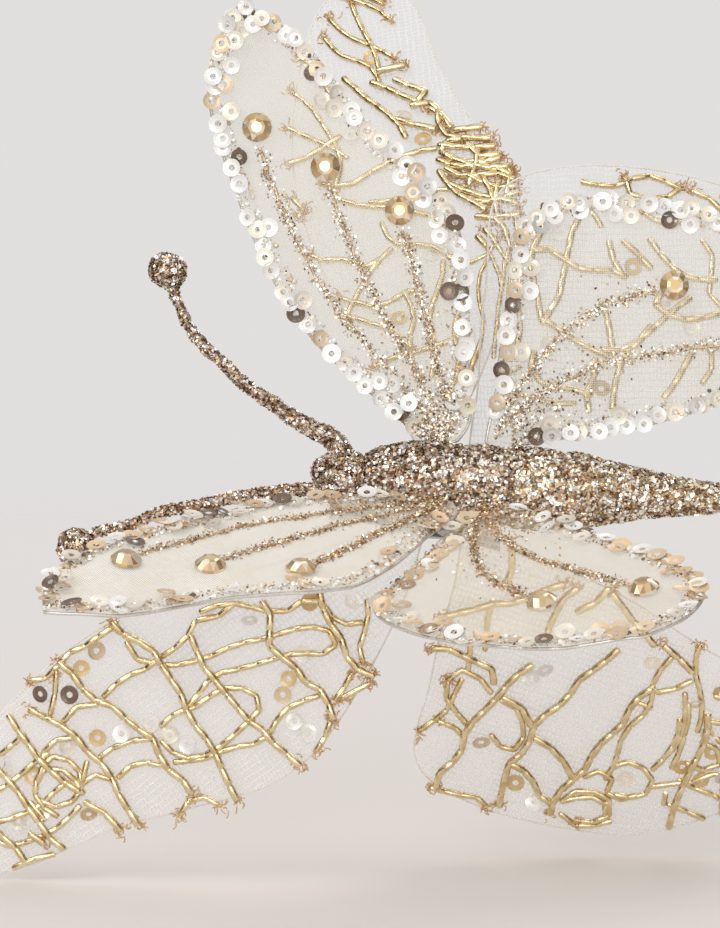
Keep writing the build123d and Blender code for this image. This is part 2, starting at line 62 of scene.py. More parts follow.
BODY_SLOPE = math.radians(3.1)
BODY_ROLL = math.radians(45.0)
ROLLED = Vector((0.0, -math.sin(BODY_ROLL), math.cos(BODY_ROLL)))
TAIL = Vector((math.cos(BODY_SLOPE), 0.0, -math.sin(BODY_SLOPE)))
BACK = (ROLLED - TAIL * ROLLED.dot(TAIL)).normalized()
RIGHT = BACK.cross(TAIL)
GRIP_TO_THORAX, GRIP_TO_AXIS = 17.0, 6.85
THORAX_CENTRE = BACK * GRIP_TO_AXIS + TAIL * GRIP_TO_THORAX
PIN_AHEAD, PIN_BELOW = 0.5, 9.0
CLIP_PIN = THORAX_CENTRE - TAIL * PIN_AHEAD - BACK * PIN_BELOW

Points = np.ndarray
Colour = tuple[float, float, float]
Shares = tuple[tuple[float, float], ...]


def travelled(line: Points) -> np.ndarray:
    """Return how far along a line each of its corners lies."""
    runs = np.linalg.norm(np.diff(line, axis=0), axis=1)
    return np.concatenate([[0.0], np.cumsum(runs)])


def looked_up(line: Points, marks: np.ndarray, stops: np.ndarray) -> Points:
    """Find places on a line.

    Args:
        line: Corners of the line, one row each.
        marks: A number for each corner, rising along the line.
        stops: The numbers to look up.

    Returns:
        The places, one row each.
    """
    return np.stack([np.interp(stops, marks, line[:, k]) for k in range(line.shape[1])], axis=1)


def spaced(line: Points, count: int) -> Points:
    """Walk along a line in even steps.

    Args:
        line: Corners of the line, one row each.
        count: How many places to return, both ends included.

    Returns:
        The places, one row each.
    """
    marks = travelled(line)
    return looked_up(line, marks, np.linspace(0.0, marks[-1], count))


def smooth_line(points: Shares | list, count: int) -> Points:
    """Draw a smooth curve through points.

    Args:
        points: The points that the curve passes through.
        count: How many evenly spaced places to return.

    Returns:
        Places on the curve, one row each.
    """
    knots = np.asarray(points, float)
    spans = np.linalg.norm(np.diff(knots, axis=0), axis=1)
    when = travelled(knots)
    size = len(knots)
    balance = np.eye(size)
    pull = np.zeros_like(knots)
    for i in range(1, size - 1):
        before, after = spans[i - 1], spans[i]
        balance[i, i - 1:i + 2] = (before, 2 * (before + after), after)
        pull[i] = 6 * ((knots[i + 1] - knots[i]) / after - (knots[i] - knots[i - 1]) / before)
    bends = np.linalg.solve(balance, pull)
    fine = np.linspace(0.0, when[-1], max(24 * size, 4 * count))
    span = np.clip(np.searchsorted(when, fine, side="right") - 1, 0, size - 2)
    run = spans[span][:, None]
    ahead, behind = (when[span + 1] - fine)[:, None], (fine - when[span])[:, None]
    curve = (bends[span] * ahead ** 3 + bends[span + 1] * behind ** 3) / (6 * run)
    curve += (knots[span] / run - bends[span] * run / 6) * ahead
    curve += (knots[span + 1] / run - bends[span + 1] * run / 6) * behind
    return spaced(curve, count)


def inside(line: Points, places: Points) -> np.ndarray:
    """Tell which places lie inside a closed outline.

    Args:
        line: Corners of the outline, in the plane.
        places: Places to test, in the plane.

    Returns:
        One truth value for each place.
    """
    ax, ay = line[:, 0], line[:, 1]
    bx, by = np.roll(ax, -1), np.roll(ay, -1)
    px, py = places[:, 0][:, None], places[:, 1][:, None]
    rise = np.where(by == ay, 1e-9, by - ay)
    crossing = ((ay > py) != (by > py)) & (px < (bx - ax) * (py - ay) / rise + ax)
    return crossing.sum(axis=1) % 2 == 1


def from_least(ring: list[int]) -> list[int]:
    """Turn a ring of numbers round to start with the least."""
    start = ring.index(min(ring))
    return ring[start:] + ring[:start]


def in_order(mesh: bpy.types.Mesh, step: float) -> tuple[Points, list]:
    """Sort a mesh's corners and faces by place, since Blender's order differs from run to run.

    Args:
        mesh: The mesh to read.
        step: How far apart places have to be to count as different.

    Returns:
        Its corners, one row each, and the corner numbers of each face.
    """
    corners = np.array([corner.co for corner in mesh.vertices], float)
    order = np.lexsort(np.round(corners / step).T)
    rank = np.argsort(order)
    faces = sorted(from_least(rank[list(face.vertices)].tolist()) for face in mesh.polygons)
    return corners[order], faces


def pick_only(piece: bpy.types.Object) -> None:
    """Make a piece the only one that the next operator acts on."""
    bpy.ops.object.select_all(action="DESELECT")
    piece.select_set(True)
    bpy.context.view_layer.objects.active = piece


def edit_all() -> None:
    """Edit the active piece, with all of it selected."""
    bpy.ops.object.mode_set(mode="EDIT")
    bpy.ops.mesh.select_all(action="SELECT")


def linked(name: str, data: bpy.types.ID) -> bpy.types.Object:
    """Put an object with the given data in the scene and return it."""
    piece = bpy.data.objects.new(name, data)
    bpy.context.scene.collection.objects.link(piece)
    return piece


def mesh_piece(name: str, corners: Points, faces: list, tints: Points | None = None,
               chart: Points | None = None, smooth: bool = False) -> bpy.types.Object:
    """Make an object from corners and faces.

    Args:
        name: The piece's name.
        corners: Its corners in metres, one row each.
        faces: Corner numbers of each face.
        tints: A colour for each corner, kept as the attribute "tint".
        chart: A place on the cloth for each corner, kept as the piece's UV map.
        smooth: Whether its faces are shaded smooth.

    Returns:
        The new object.
    """
    mesh = bpy.data.meshes.new(name)
    mesh.from_pydata(np.asarray(corners, float).tolist(), [], faces)
    if tints is not None:
        layer = mesh.color_attributes.new(name="tint", type="FLOAT_COLOR", domain="POINT")
        layer.data.foreach_set("color", np.c_[tints, np.ones(len(tints))].ravel())
    if chart is not None:
        layer = mesh.uv_layers.new(name="cloth")
        order = np.empty(len(mesh.loops), int)
        mesh.loops.foreach_get("vertex_index", order)
        layer.data.foreach_set("uv", chart[order].ravel())
    mesh.polygons.foreach_set("use_smooth", [smooth] * len(mesh.polygons))
    mesh.update()
    return linked(name, mesh)


def wire_piece(name: str, routes: list[Points], radius: float, widths: list | None = None,
               roundness: int = 2) -> bpy.types.Object:
    """Bend round wire along routes.

    Args:
        name: The piece's name.
        routes: Points of each wire, in metres.
        radius: The wire's radius in metres.
        widths: For each wire, how thick it is at each point, as a share of the radius.
        roundness: How many extra sides the wire gets.

    Returns:
        The wire as a mesh object.
    """
    curve = bpy.data.curves.new(name, "CURVE")
    curve.dimensions = "3D"
    curve.bevel_depth = radius
    curve.bevel_resolution = roundness
    curve.use_fill_caps = True
    for number, route in enumerate(routes):
        spline = curve.splines.new("POLY")
        spline.points.add(len(route) - 1)
        spline.points.foreach_set("co", np.c_[route, np.ones(len(route))].ravel())
        if widths is not None:
            spline.points.foreach_set("radius", np.asarray(widths[number], float))
    pick_only(linked(name, curve))
    bpy.ops.object.convert(target="MESH")
    piece = bpy.context.view_layer.objects.active
    bpy.ops.object.shade_smooth()
    return piece


@dataclass
class Shape:
    """A small shape that is modelled once and copied many times, in millimetres."""

    corners: Points
    faces: list

    @classmethod
    def taken_from(cls, piece: bpy.types.Object) -> "Shape":
        """Read a modelled piece and clear it away.

        Args:
            piece: The modelled piece, one unit to the millimetre.

        Returns:
            Its corners and faces.
        """
        shape = cls(*in_order(piece.data, MM))
        bpy.data.meshes.remove(piece.data)
        return shape

    def copies(self, name: str, spots: Points, turns: Points, tints: Points) -> bpy.types.Object:
        """Lay copies of the shape, each with its own corners, in one piece.

        Args:
            name: The piece's name.
            spots: Where each copy goes, in metres.
            turns: Each copy's turn and scale, as a 3 by 3 matrix in metres to the millimetre.
            tints: Each copy's colour, or a colour for each corner of each copy.

        Returns:
            The piece.
        """
        count = len(self.corners)
        corners = np.einsum("nij,kj->nki", turns, self.corners) + spots[:, None, :]
        faces = [tuple(corner + count * copy for corner in face)
                 for copy in range(len(spots)) for face in self.faces]
        painted = np.repeat(tints, count, axis=0) if tints.ndim == 2 else tints.reshape(-1, 3)
        return mesh_piece(name, corners.reshape(-1, 3), faces, painted)

    def cut_apart(self) -> "Shape":
        """Return the same shape with corners that no two faces share."""
        order = [corner for face in self.faces for corner in face]
        ends = np.cumsum([0, *(len(face) for face in self.faces)])
        faces = [tuple(range(start, end)) for start, end in zip(ends[:-1], ends[1:])]
        return Shape(self.corners[order], faces)


def sequin_shape(radius: float, hole: float, cup: float, sides: int) -> Shape:
    """Model a cup sequin: a thin dished ring with a turned-down edge.

    Args:
        radius: The sequin's radius.
        hole: Its hole's radius.
        cup: How deep it is dished.
        sides: How many corners it has round.

    Returns:
        The shape.
    """
    edge, lip, dish = 0.1, 0.02, 0.62
    eye = hole / radius / dish
    bpy.ops.mesh.primitive_circle_add(vertices=sides, radius=radius, location=(0, 0, cup - edge))
    bpy.ops.object.transform_apply(location=True)
    edit_all()
    bpy.ops.mesh.extrude_edges_move(TRANSFORM_OT_translate={"value": (0, 0, edge)})
    for drop, share in ((cup, dish), (lip, eye)):
        bpy.ops.mesh.extrude_edges_move(TRANSFORM_OT_translate={"value": (0, 0, -drop)})
        bpy.ops.transform.resize(value=(share, share, 1.0))
    bpy.ops.object.mode_set(mode="OBJECT")
    return Shape.taken_from(bpy.context.active_object)


def dot_shape(radius: float) -> Shape:
    """Model a tiny domed disc."""
    bpy.ops.mesh.primitive_cone_add(vertices=7, radius1=radius, radius2=radius * 0.5,
                                    depth=radius * 0.5)
    return Shape.taken_from(bpy.context.active_object)


def flake_shape() -> Shape:
    """Model one glitter flake: a flat uneven five-cornered plate."""
    bpy.ops.mesh.primitive_circle_add(vertices=5, radius=0.5, fill_type="NGON")
    edit_all()
    bpy.ops.transform.resize(value=(1.0, 0.78, 1.0))
    bpy.ops.object.mode_set(mode="OBJECT")
    return Shape.taken_from(bpy.context.active_object)


def gem_shape(radius: float) -> Shape:
    """Model a flat-backed cut stone: girdle, two rows of crown facets and a table."""
    girdle, crown = 0.45, 1.45
    bpy.ops.mesh.primitive_circle_add(vertices=16, radius=radius)
    edit_all()
    bpy.ops.mesh.extrude_edges_move(TRANSFORM_OT_translate={"value": (0, 0, girdle)})
    bpy.ops.mesh.primitive_circle_add(vertices=8, radius=radius * 0.58, location=(0, 0, crown))
    bpy.ops.mesh.select_all(action="DESELECT")
    bpy.ops.object.mode_set(mode="OBJECT")
    piece = bpy.context.active_object
    for corner in piece.data.vertices:
        corner.select = corner.co.z > girdle - 0.15
    for edge in piece.data.edges:
        edge.select = all(piece.data.vertices[end].select for end in edge.vertices)
    bpy.ops.object.mode_set(mode="EDIT")
    bpy.ops.mesh.bridge_edge_loops()
    bpy.ops.mesh.select_all(action="DESELECT")
    bpy.ops.object.mode_set(mode="OBJECT")
    for corner in piece.data.vertices:
        corner.select = corner.co.z > crown - 0.15
    bpy.ops.object.mode_set(mode="EDIT")
    bpy.ops.mesh.select_mode(type="VERT")
    bpy.ops.mesh.edge_face_add()
    bpy.ops.mesh.inset(thickness=radius * 0.2, depth=0.12)
    bpy.ops.mesh.select_all(action="SELECT")
    bpy.ops.mesh.normals_make_consistent(inside=False)
    bpy.ops.object.mode_set(mode="OBJECT")
    return Shape.taken_from(piece)


class Tint(Enum):
    """Colours of glitter and sequins, as light that they send back; in the glitter the darkest and
    the palest also paint shade and reflections.
    """

    WHITE = (0.93, 0.91, 0.87)
    CREAM = (0.86, 0.78, 0.66)
    CHAMPAGNE = (0.72, 0.56, 0.38)
    TAN = (0.50, 0.34, 0.20)
    SILVER = (0.62, 0.60, 0.58)
    ROSE = (0.60, 0.42, 0.32)
    COPPER = (0.44, 0.23, 0.10)
    UMBER = (0.13, 0.075, 0.045)
    GOLD = (0.66, 0.47, 0.22)
    AMBER = (0.78, 0.56, 0.33)


@dataclass(frozen=True)
class Mixture:
    """A mixture of tints, each with how common it is."""

    parts: tuple[tuple[Tint, float], ...]

    @classmethod
    def of(cls, **common: float) -> "Mixture":
        """Mix the named tints, each as common as its number."""
        return cls(tuple((Tint[name.upper()], share) for name, share in common.items()))

    def draw(self, count: int, rng: np.random.Generator) -> Points:
        """Draw tints at random, each a little lighter or darker than its name.

        Args:
            count: How many to draw.
            rng: The seeded source of chance.

        Returns:
            One colour a row.
        """
        share = np.array([part[1] for part in self.parts])
        chosen = rng.choice(len(self.parts), size=count, p=share / share.sum())
        colours = np.array([part[0].value for part in self.parts])[chosen]
        return np.clip(colours * rng.uniform(0.82, 1.15, (count, 1)), 0.0, 0.97)


# Glitter mixtures: the hues are the glitter's own, and their spread from dark umber to white also
# paints the shade and the reflections of the flakes.
SILVER_GLITTER = Mixture.of(white=8, silver=2, rose=6, copper=3, umber=2, champagne=5, cream=3)
GOLD_GLITTER = Mixture.of(white=10, cream=12, champagne=6, amber=3, tan=2, copper=2.5, umber=0.6)
COPPER_GLITTER = Mixture.of(copper=2, tan=3, rose=7, champagne=3, umber=0.6, white=4, cream=4)
VEIN_GLITTER = Mixture.of(white=6, cream=6, champagne=4, tan=2, copper=0.8, umber=0.5)
WARM_VEINS = Mixture.of(cream=4, champagne=5, amber=4, tan=3, copper=3, white=2)
RIM_SEQUINS = Mixture.of(white=10, cream=6, champagne=1.5, silver=0.8, umber=1.3)
WARM_SEQUINS = Mixture.of(white=3, cream=6, champagne=4, amber=5, tan=1, umber=1.2)
LOOSE_SEQUINS = Mixture.of(white=7, cream=3, champagne=3, gold=4, umber=0.6)
DOTS = Mixture.of(white=8, cream=3, champagne=2, umber=0.8)
# Facet tints of the cut stones: the stones' own champagne and gold, with painted reflections that
# make some facets light and others dark.
STONE_COLOURS_AND_REFLECTIONS = Mixture.of(cream=3, champagne=4, gold=6, amber=3, tan=3, copper=1.5)


class Board:
    """A node tree that nodes are set out on."""

    def __init__(self, tree: bpy.types.NodeTree) -> None:
        """Keep the tree."""
        self.tree = tree

    def add(self, kind: str, feeds: dict | None = None, **settings: object) -> bpy.types.Node:
        """Add a node.

        Args:
            kind: The node's type.
            feeds: For each input, a socket to link it from or a value to set.
            **settings: The node's own settings.

        Returns:
            The node.
        """
        node = self.tree.nodes.new(kind)
        for key, value in settings.items():
            setattr(node, key, value)
        self.feed(node, feeds or {})
        return node

    def feed(self, node: bpy.types.Node, feeds: dict) -> None:
        """Link or set a node's inputs.

        Args:
            node: The node.
            feeds: For each input, a socket to link it from or a value to set.
        """
        for key, value in feeds.items():
            if isinstance(value, bpy.types.NodeSocket):
                self.tree.links.new(value, node.inputs[key])
            else:
                node.inputs[key].default_value = value

    def sum(self, kind: str, *values: object) -> bpy.types.NodeSocket:
        """Add a Math node of a kind and return what it puts out."""
        return self.add("ShaderNodeMath", dict(enumerate(values)), operation=kind).outputs[0]

    def ramp(self, value: bpy.types.NodeSocket, low: float, high: float, first: float = 0.0,
             last: float = 1.0) -> bpy.types.NodeSocket:
        """Stretch a value from one span to another, held at both ends."""
        feeds = {"Value": value, "From Min": low, "From Max": high, "To Min": first, "To Max": last}
        return self.add("ShaderNodeMapRange", feeds).outputs["Result"]

    def blend(self, share: object, first: object, second: object) -> bpy.types.NodeSocket:
        """Mix two colours by a share."""
        feeds = {0: share, 6: first, 7: second}
        return self.add("ShaderNodeMix", feeds, data_type="RGBA").outputs[2]


def group_of(name: str, takes: dict, gives: tuple[str, ...]) -> tuple[Board, bpy.types.NodeTree]:
    """Start a node group with named inputs and outputs.

    Args:
        name: The group's name.
        takes: Its inputs, and for each one a starting number, or None for a vector.
        gives: Its outputs, all numbers.

    Returns:
        The board to set nodes out on, and the group itself.
    """
    tree = bpy.data.node_groups.new(name, "ShaderNodeTree")
    for key, start in takes.items():
        kind = "NodeSocketVector" if start is None else "NodeSocketFloat"
        socket = tree.interface.new_socket(key, in_out="INPUT", socket_type=kind)
        if start is not None:
            socket.default_value = start
    for key in gives:
        tree.interface.new_socket(key, in_out="OUTPUT", socket_type="NodeSocketFloat")
    return Board(tree), tree


def thread_group() -> bpy.types.NodeTree:
    """Build the weave of organza and tulle: two sets of threads over a map in millimetres."""
    takes = {"Place": None, "Along": 0.4, "Across": 0.4, "Openness": 0.5, "Waver": 0.2}
    board, tree = group_of("threads", takes, ("Cover", "Height"))
    into = board.add("NodeGroupInput").outputs
    drift = board.add("ShaderNodeTexNoise", {"Vector": into["Place"], "Scale": 0.35, "Detail": 2.0})
    bent = board.add("ShaderNodeVectorMath", {0: drift.outputs["Color"], "Scale": into["Waver"]},
                     operation="SCALE")
    place = board.add("ShaderNodeVectorMath", {0: into["Place"], 1: bent.outputs[0]},
                      operation="ADD")
    axes = board.add("ShaderNodeSeparateXYZ", {0: place.outputs[0]}).outputs
    waves = []
    for axis, pitch in (("X", "Along"), ("Y", "Across")):
        turn = board.sum("MULTIPLY", board.sum("DIVIDE", axes[axis], into[pitch]), math.tau)
        waves.append(board.sum("MULTIPLY_ADD", board.sum("SINE", turn), 0.5, 0.5))
    crest = board.sum("MAXIMUM", waves[0], waves[1])
    cover = board.ramp(crest, into["Openness"], board.sum("ADD", into["Openness"], 0.3))
    board.add("NodeGroupOutput", {"Cover": cover, "Height": crest})
    return tree


def grain_group() -> bpy.types.NodeTree:
    """Build the uneven grain that several finishes share: soft patches with fine specks."""
    takes = {"Place": None, "Patch": 200.0, "Speck": 1500.0}
    board, tree = group_of("grain", takes, ("Patches", "Specks"))
    into = board.add("NodeGroupInput").outputs
    gives = {}
    for name, scale, detail in (("Patches", "Patch", 3.0), ("Specks", "Speck", 1.0)):
        feeds = {"Vector": into["Place"], "Scale": into[scale], "Detail": detail}
        cloud = board.add("ShaderNodeTexNoise", feeds)
        gives[name] = board.ramp(cloud.outputs["Fac"], 0.3, 0.7)
    board.add("NodeGroupOutput", gives)
    return tree


THREADS = thread_group()
GRAIN = grain_group()


@dataclass(frozen=True)
class Finish:
    """What every finish holds: its name, gloss and metal share."""

    name: str
    roughness: float = 0.4
    metallic: float = 0.0

    def start(self) -> tuple[bpy.types.Material, Board, bpy.types.Node]:
        """Make the material with its surface shader.

        Returns:
            The material, its board and its surface shader.
        """
        material = bpy.data.materials.new(self.name)
        material.use_nodes = True
        board = Board(material.node_tree)
        shader = material.node_tree.nodes["Principled BSDF"]
        board.feed(shader, {"Roughness": self.roughness, "Metallic": self.metallic})
        return material, board, shader

    def grain(self, board: Board, patch: float, speck: float) -> bpy.types.NodeOutputs:
        """Place the shared grain on the piece's own coordinates."""
        place = board.add("ShaderNodeTexCoord").outputs["Object"]
        feeds = {"Place": place, "Patch": patch, "Speck": speck}
        return board.add("ShaderNodeGroup", feeds, node_tree=GRAIN).outputs

    def rough(self, board: Board, grain: bpy.types.NodeSocket, high: float) -> object:
        """Vary the roughness with a grain, from 0.7 of it to the given number of times it."""
        return board.ramp(grain, 0.0, 1.0, self.roughness * 0.7, self.roughness * high)

    def bump(self, board: Board, shader: bpy.types.Node, height: bpy.types.NodeSocket,
             strength: float, depth: float) -> None:
        """Raise the surface where the height is high.

        Args:
            board: The material's board.
            shader: Its surface shader.
            height: The height to follow.
            strength: How strongly it shows.
            depth: How deep it is, in metres.
        """
        node = board.add("ShaderNodeBump", {"Height": height, "Strength": strength,
                                            "Distance": depth})
        board.feed(shader, {"Normal": node.outputs["Normal"]})


@dataclass(frozen=True)
class TintedFinish(Finish):
    """A finish whose colour is painted on the piece, for flakes, sequins and stones."""

    coat: float = 0.0
    worn: float = 0.12
    dust: Colour = (0.9, 0.85, 0.76)
    patch: float = 900.0
    speck: float = 4000.0

    def build(self) -> bpy.types.Material:
        """Make the material."""
        material, board, shader = self.start()
        tint = board.add("ShaderNodeAttribute", attribute_name="tint").outputs["Color"]
        grain = self.grain(board, self.patch, self.speck)
        dull = board.sum("MULTIPLY", grain["Specks"], self.worn)
        board.feed(shader, {"Base Color": board.blend(dull, tint, (*self.dust, 1.0)),
                            "Roughness": self.rough(board, grain["Patches"], 1.5),
                            "Coat Weight": self.coat, "Coat Roughness": 0.08})
        return material


@dataclass(frozen=True)
class CoatFinish(Finish):
    """The glitter coat under the loose flakes: packed cells of two tones over dark glue, whose dark
    brown also paints the shade between the flakes.
    """

    light: Colour = (0.5, 0.45, 0.4)
    dark: Colour = (0.12, 0.08, 0.06)
    cell: float = 1700.0

    def build(self) -> bpy.types.Material:
        """Make the material."""
        material, board, shader = self.start()
        place = board.add("ShaderNodeTexCoord").outputs["Object"]
        cells = board.add("ShaderNodeTexVoronoi", {"Vector": place, "Scale": self.cell})
        tone = board.add("ShaderNodeSeparateColor", {0: cells.outputs["Color"]}).outputs
        share = board.ramp(tone[0], 0.25, 0.85)
        board.feed(shader, {"Base Color": board.blend(share, (*self.dark, 1), (*self.light, 1)),
                            "Roughness": board.ramp(tone[1], 0.0, 1.0, 0.25, 0.6)})
        self.bump(board, shader, tone[2], 0.8, 0.3 * MM)
        return material


@dataclass(frozen=True)
class ClothFinish(Finish):
    """Sheer cloth: threads that cover, and gaps that show what lies behind."""

    thread: Colour = (0.88, 0.82, 0.68)
    shade: Colour = (0.78, 0.7, 0.53)
    along: float = 0.36
    across: float = 0.36
    openness: float = 0.72
    waver: float = 0.5
    thin: float = 0.14
    thick: float = 0.66
    fuzz: float = 0.08
    sheen: float = 0.25
    patch: float = 120.0
    speck: float = 900.0

    def build(self) -> bpy.types.Material:
        """Make the material."""
        material, board, shader = self.start()
        place = board.add("ShaderNodeUVMap", uv_map="cloth").outputs["UV"]
        feeds = {"Place": place, "Along": self.along, "Across": self.across,
                 "Openness": self.openness, "Waver": self.waver}
        threads = board.add("ShaderNodeGroup", feeds, node_tree=THREADS).outputs
        grain = self.grain(board, self.patch, self.speck)
        colour = board.blend(grain["Patches"], (*self.thread, 1), (*self.shade, 1))
        fuzz = board.sum("MULTIPLY", grain["Specks"], self.fuzz)
        cover = board.ramp(threads["Cover"], 0.0, 1.0, self.thin, self.thick)
        board.feed(shader, {"Base Color": colour, "Alpha": board.sum("ADD", cover, fuzz),
                            "Sheen Weight": self.sheen, "Sheen Roughness": 0.4})
        self.bump(board, shader, threads["Height"], 0.35, 0.1 * MM)
        return material


@dataclass(frozen=True)
class MetalFinish(Finish):
    """Bare or lacquered metal with fine wear."""

    colour: Colour = (0.6, 0.6, 0.6)
    aged: Colour = (0.4, 0.38, 0.36)
    patch: float = 300.0
    speck: float = 2500.0

    def build(self) -> bpy.types.Material:
        """Make the material."""
        material, board, shader = self.start()
        grain = self.grain(board, self.patch, self.speck)
        colour = board.blend(grain["Patches"], (*self.colour, 1), (*self.aged, 1))
        board.feed(shader, {"Base Color": colour,
                            "Roughness": self.rough(board, grain["Specks"], 1.4)})
        self.bump(board, shader, grain["Specks"], 0.25, 0.08 * MM)
        return material


FLAKES = TintedFinish("glitter_flakes", 0.2, 0.85, worn=0.03).build()
SEQUINS = TintedFinish("sequin_film", 0.25, 0.15, coat=0.3, worn=0.1).build()
STONE = TintedFinish("cut_stone", 0.06, 0.5, coat=1.0, worn=0.03).build()
# In the silver and gold coats the second, dark colour is the glue and also paints the shade between
# the flakes.
SILVER_COAT = CoatFinish("silver_glitter_coat", 0.4, 0.7, (0.62, 0.46, 0.35),
                         (0.1, 0.05, 0.03)).build()
GOLD_COAT = CoatFinish("gold_glitter_coat", 0.4, 0.7, (0.74, 0.52, 0.31), (0.2, 0.1, 0.04)).build()
VEIN_COAT = CoatFinish("vein_glitter_coat", 0.45, 0.4, (0.86, 0.74, 0.56),
                       (0.56, 0.41, 0.26)).build()
ORGANZA = ClothFinish("organza", 0.55).build()
# The near forewing is seen edge-on: it gets denser threads for the more cloth it is seen through,
# and a paler cream that is painted light scattered in the cloth.
DENSE_LIT_ORGANZA = ClothFinish("cream_organza", 0.55, thread=(0.93, 0.88, 0.77),
                            shade=(0.86, 0.78, 0.62), openness=0.6, thin=0.3, thick=0.85).build()
# Painted light: the right hindwing's organza is the same cloth made paler, so that it reads more
# brightly lit.
PAINTED_BRIGHT_ORGANZA = ClothFinish("painted_bright_organza", 0.55, thread=(0.94, 0.9, 0.8),
                           shade=(0.87, 0.81, 0.68)).build()
WARM_ORGANZA = ClothFinish("warm_organza", 0.55, thread=(0.88, 0.78, 0.58),
                           shade=(0.77, 0.64, 0.42)).build()
TULLE = ClothFinish("striped_tulle", 0.65, thread=(0.95, 0.94, 0.92), shade=(0.88, 0.86, 0.82),
                    along=0.7, across=1.05, openness=0.72, waver=1.2, thin=0.1, thick=0.6).build()
CORD = MetalFinish("gold_cord", 0.12, 0.95, (0.9, 0.78, 0.52), (0.68, 0.51, 0.27),
                   patch=600.0, speck=3500.0).build()
FRAY = MetalFinish("frayed_thread", 0.6, 0.1, (0.62, 0.37, 0.17), (0.84, 0.63, 0.38),
                   patch=900.0).build()
SELVAGE = MetalFinish("covered_wire", 0.6, 0.0, (0.9, 0.88, 0.82), (0.8, 0.76, 0.68),
                      patch=400.0).build()
RIM_WIRE = MetalFinish("rim_wire", 0.35, 0.5, (0.78, 0.75, 0.7), (0.62, 0.58, 0.52)).build()
PLAIN_STEEL = MetalFinish("plain_steel", 0.3, 1.0, (0.6, 0.6, 0.61), (0.46, 0.46, 0.47)).build()
SPRING_STEEL = MetalFinish("spring_steel", 0.25, 1.0, (0.42, 0.42, 0.44), (0.3, 0.3, 0.32)).build()
SET_GLUE = MetalFinish("set_glue", 0.25, 0.0, (0.8, 0.76, 0.66), (0.66, 0.6, 0.5)).build()

SEQUIN = sequin_shape(radius=1.52, hole=0.5, cup=0.14, sides=16)
DOT = dot_shape(radius=0.5)
FLAKE = flake_shape()
# Facets keep their own corners, so that each can take its own painted reflection.
GEM = gem_shape(radius=2.4).cut_apart()


def dress(piece: bpy.types.Object, body: str, slot: str, material: bpy.types.Material,
          *nodes: str) -> bpy.types.Object:
    """Give a piece its finish and its place in the model.

    Args:
        piece: The finished piece.
        body: The body that it moves with.
        slot: A name for its finish. Not used.
        material: Its material.
        *nodes: Solids that it stands for.

    Returns:
        The piece.
    """
    piece.data.materials.clear()
    piece.data.materials.append(material)
    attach(piece, body)
    if nodes:
        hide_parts(*nodes)
    log.info("%s: %d faces, on %s", piece.name, len(piece.data.polygons), body)
    return piece


def turned(normals: Points, rng: np.random.Generator, tilt: float, sizes: Points) -> Points:
    """Turn flat shapes to lie roughly across given normals, each spun at random.

    Args:
        normals: The direction that each shape faces.
        rng: The seeded source of chance.
        tilt: How far off the normal a shape may lean, as a slope.
        sizes: Each shape's scale.

    Returns:
        One 3 by 3 matrix for each shape, in metres to the millimetre.
    """
    facing = normals + rng.normal(0.0, tilt, normals.shape)
    facing /= np.linalg.norm(facing, axis=1, keepdims=True)
    across = np.cross(facing, rng.normal(0.0, 1.0, normals.shape))
    across /= np.linalg.norm(across, axis=1, keepdims=True)
    other = np.cross(facing, across)
    return np.stack([across, other, facing], axis=2) * (sizes * MM)[:, None, None]


FLAKE_TILT, FLAKE_DEPTH = 0.42, 0.22
CHANGE_AT, CHANGE_SPAN = -5.0, 8.0  # Where the glitter turns from silver to gold.
# Patches of painted glints and shade on the flakes: their size, and how the painted shade turns
# brown and the glints turn white.
GLINT_PATCH_SIZE, GLINT_SHADE_TINGE = 1.3, (0.8, 1.0, 1.3)


def flake_coat(name: str, piece: bpy.types.Object, count: int, mixture: Mixture, seed: int,
               size: float = 0.62, behind: Mixture | None = None) -> bpy.types.Object:
    """Scatter glitter flakes over a piece's surface.

    Args:
        name: The new piece's name.
        piece: The surface to cover.
        count: How many flakes.
        mixture: Their colours.
        seed: Fixes the scatter.
        size: A flake's usual width in millimetres.
        behind: Another mixture that takes over towards the tail.

    Returns:
        The flakes as one piece.
    """
    rng = np.random.default_rng(seed)
    mesh = piece.data
    mesh.calc_loop_triangles()
    corners = np.array([corner.co for corner in mesh.vertices], float)
    ends = np.array([triangle.vertices for triangle in mesh.loop_triangles])
    first, second, third = corners[ends[:, 0]], corners[ends[:, 1]], corners[ends[:, 2]]
    crosses = np.cross(second - first, third - first)
    areas = np.linalg.norm(crosses, axis=1)
    chosen = rng.choice(len(areas), size=count, p=areas / areas.sum())
    along, across = rng.random((2, count))
    flip = along + across > 1
    along[flip], across[flip] = 1 - along[flip], 1 - across[flip]
    spots = (first[chosen] + (second - first)[chosen] * along[:, None]
             + (third - first)[chosen] * across[:, None])
    normals = crosses[chosen] / areas[chosen][:, None]
    sizes = size * rng.uniform(0.55, 1.35, count)
    spots = spots + normals * (rng.uniform(0.0, FLAKE_DEPTH, count) * MM)[:, None]
    tints = mixture.draw(count, rng)
    if behind is not None:
        station = (spots / MM - np.array(THORAX_CENTRE)) @ np.array(TAIL)
        later = rng.random(count) < (station - CHANGE_AT) / CHANGE_SPAN
        tints = np.where(later[:, None], behind.draw(count, rng), tints)
    # Painted glints and shade: flakes are lightened where the noise patch rises and darkened,
    # browner, where it falls.
    glint_and_shade = np.array([noise.noise(Vector(spot) / (GLINT_PATCH_SIZE * MM)) for spot in spots])[:, None]
    tints = np.clip(tints * np.clip(1.1 + 1.7 * glint_and_shade, 0.3, 2.0) ** GLINT_SHADE_TINGE, 0.02, 0.97)
    return FLAKE.copies(name, spots, turned(normals, rng, FLAKE_TILT, sizes), tints)


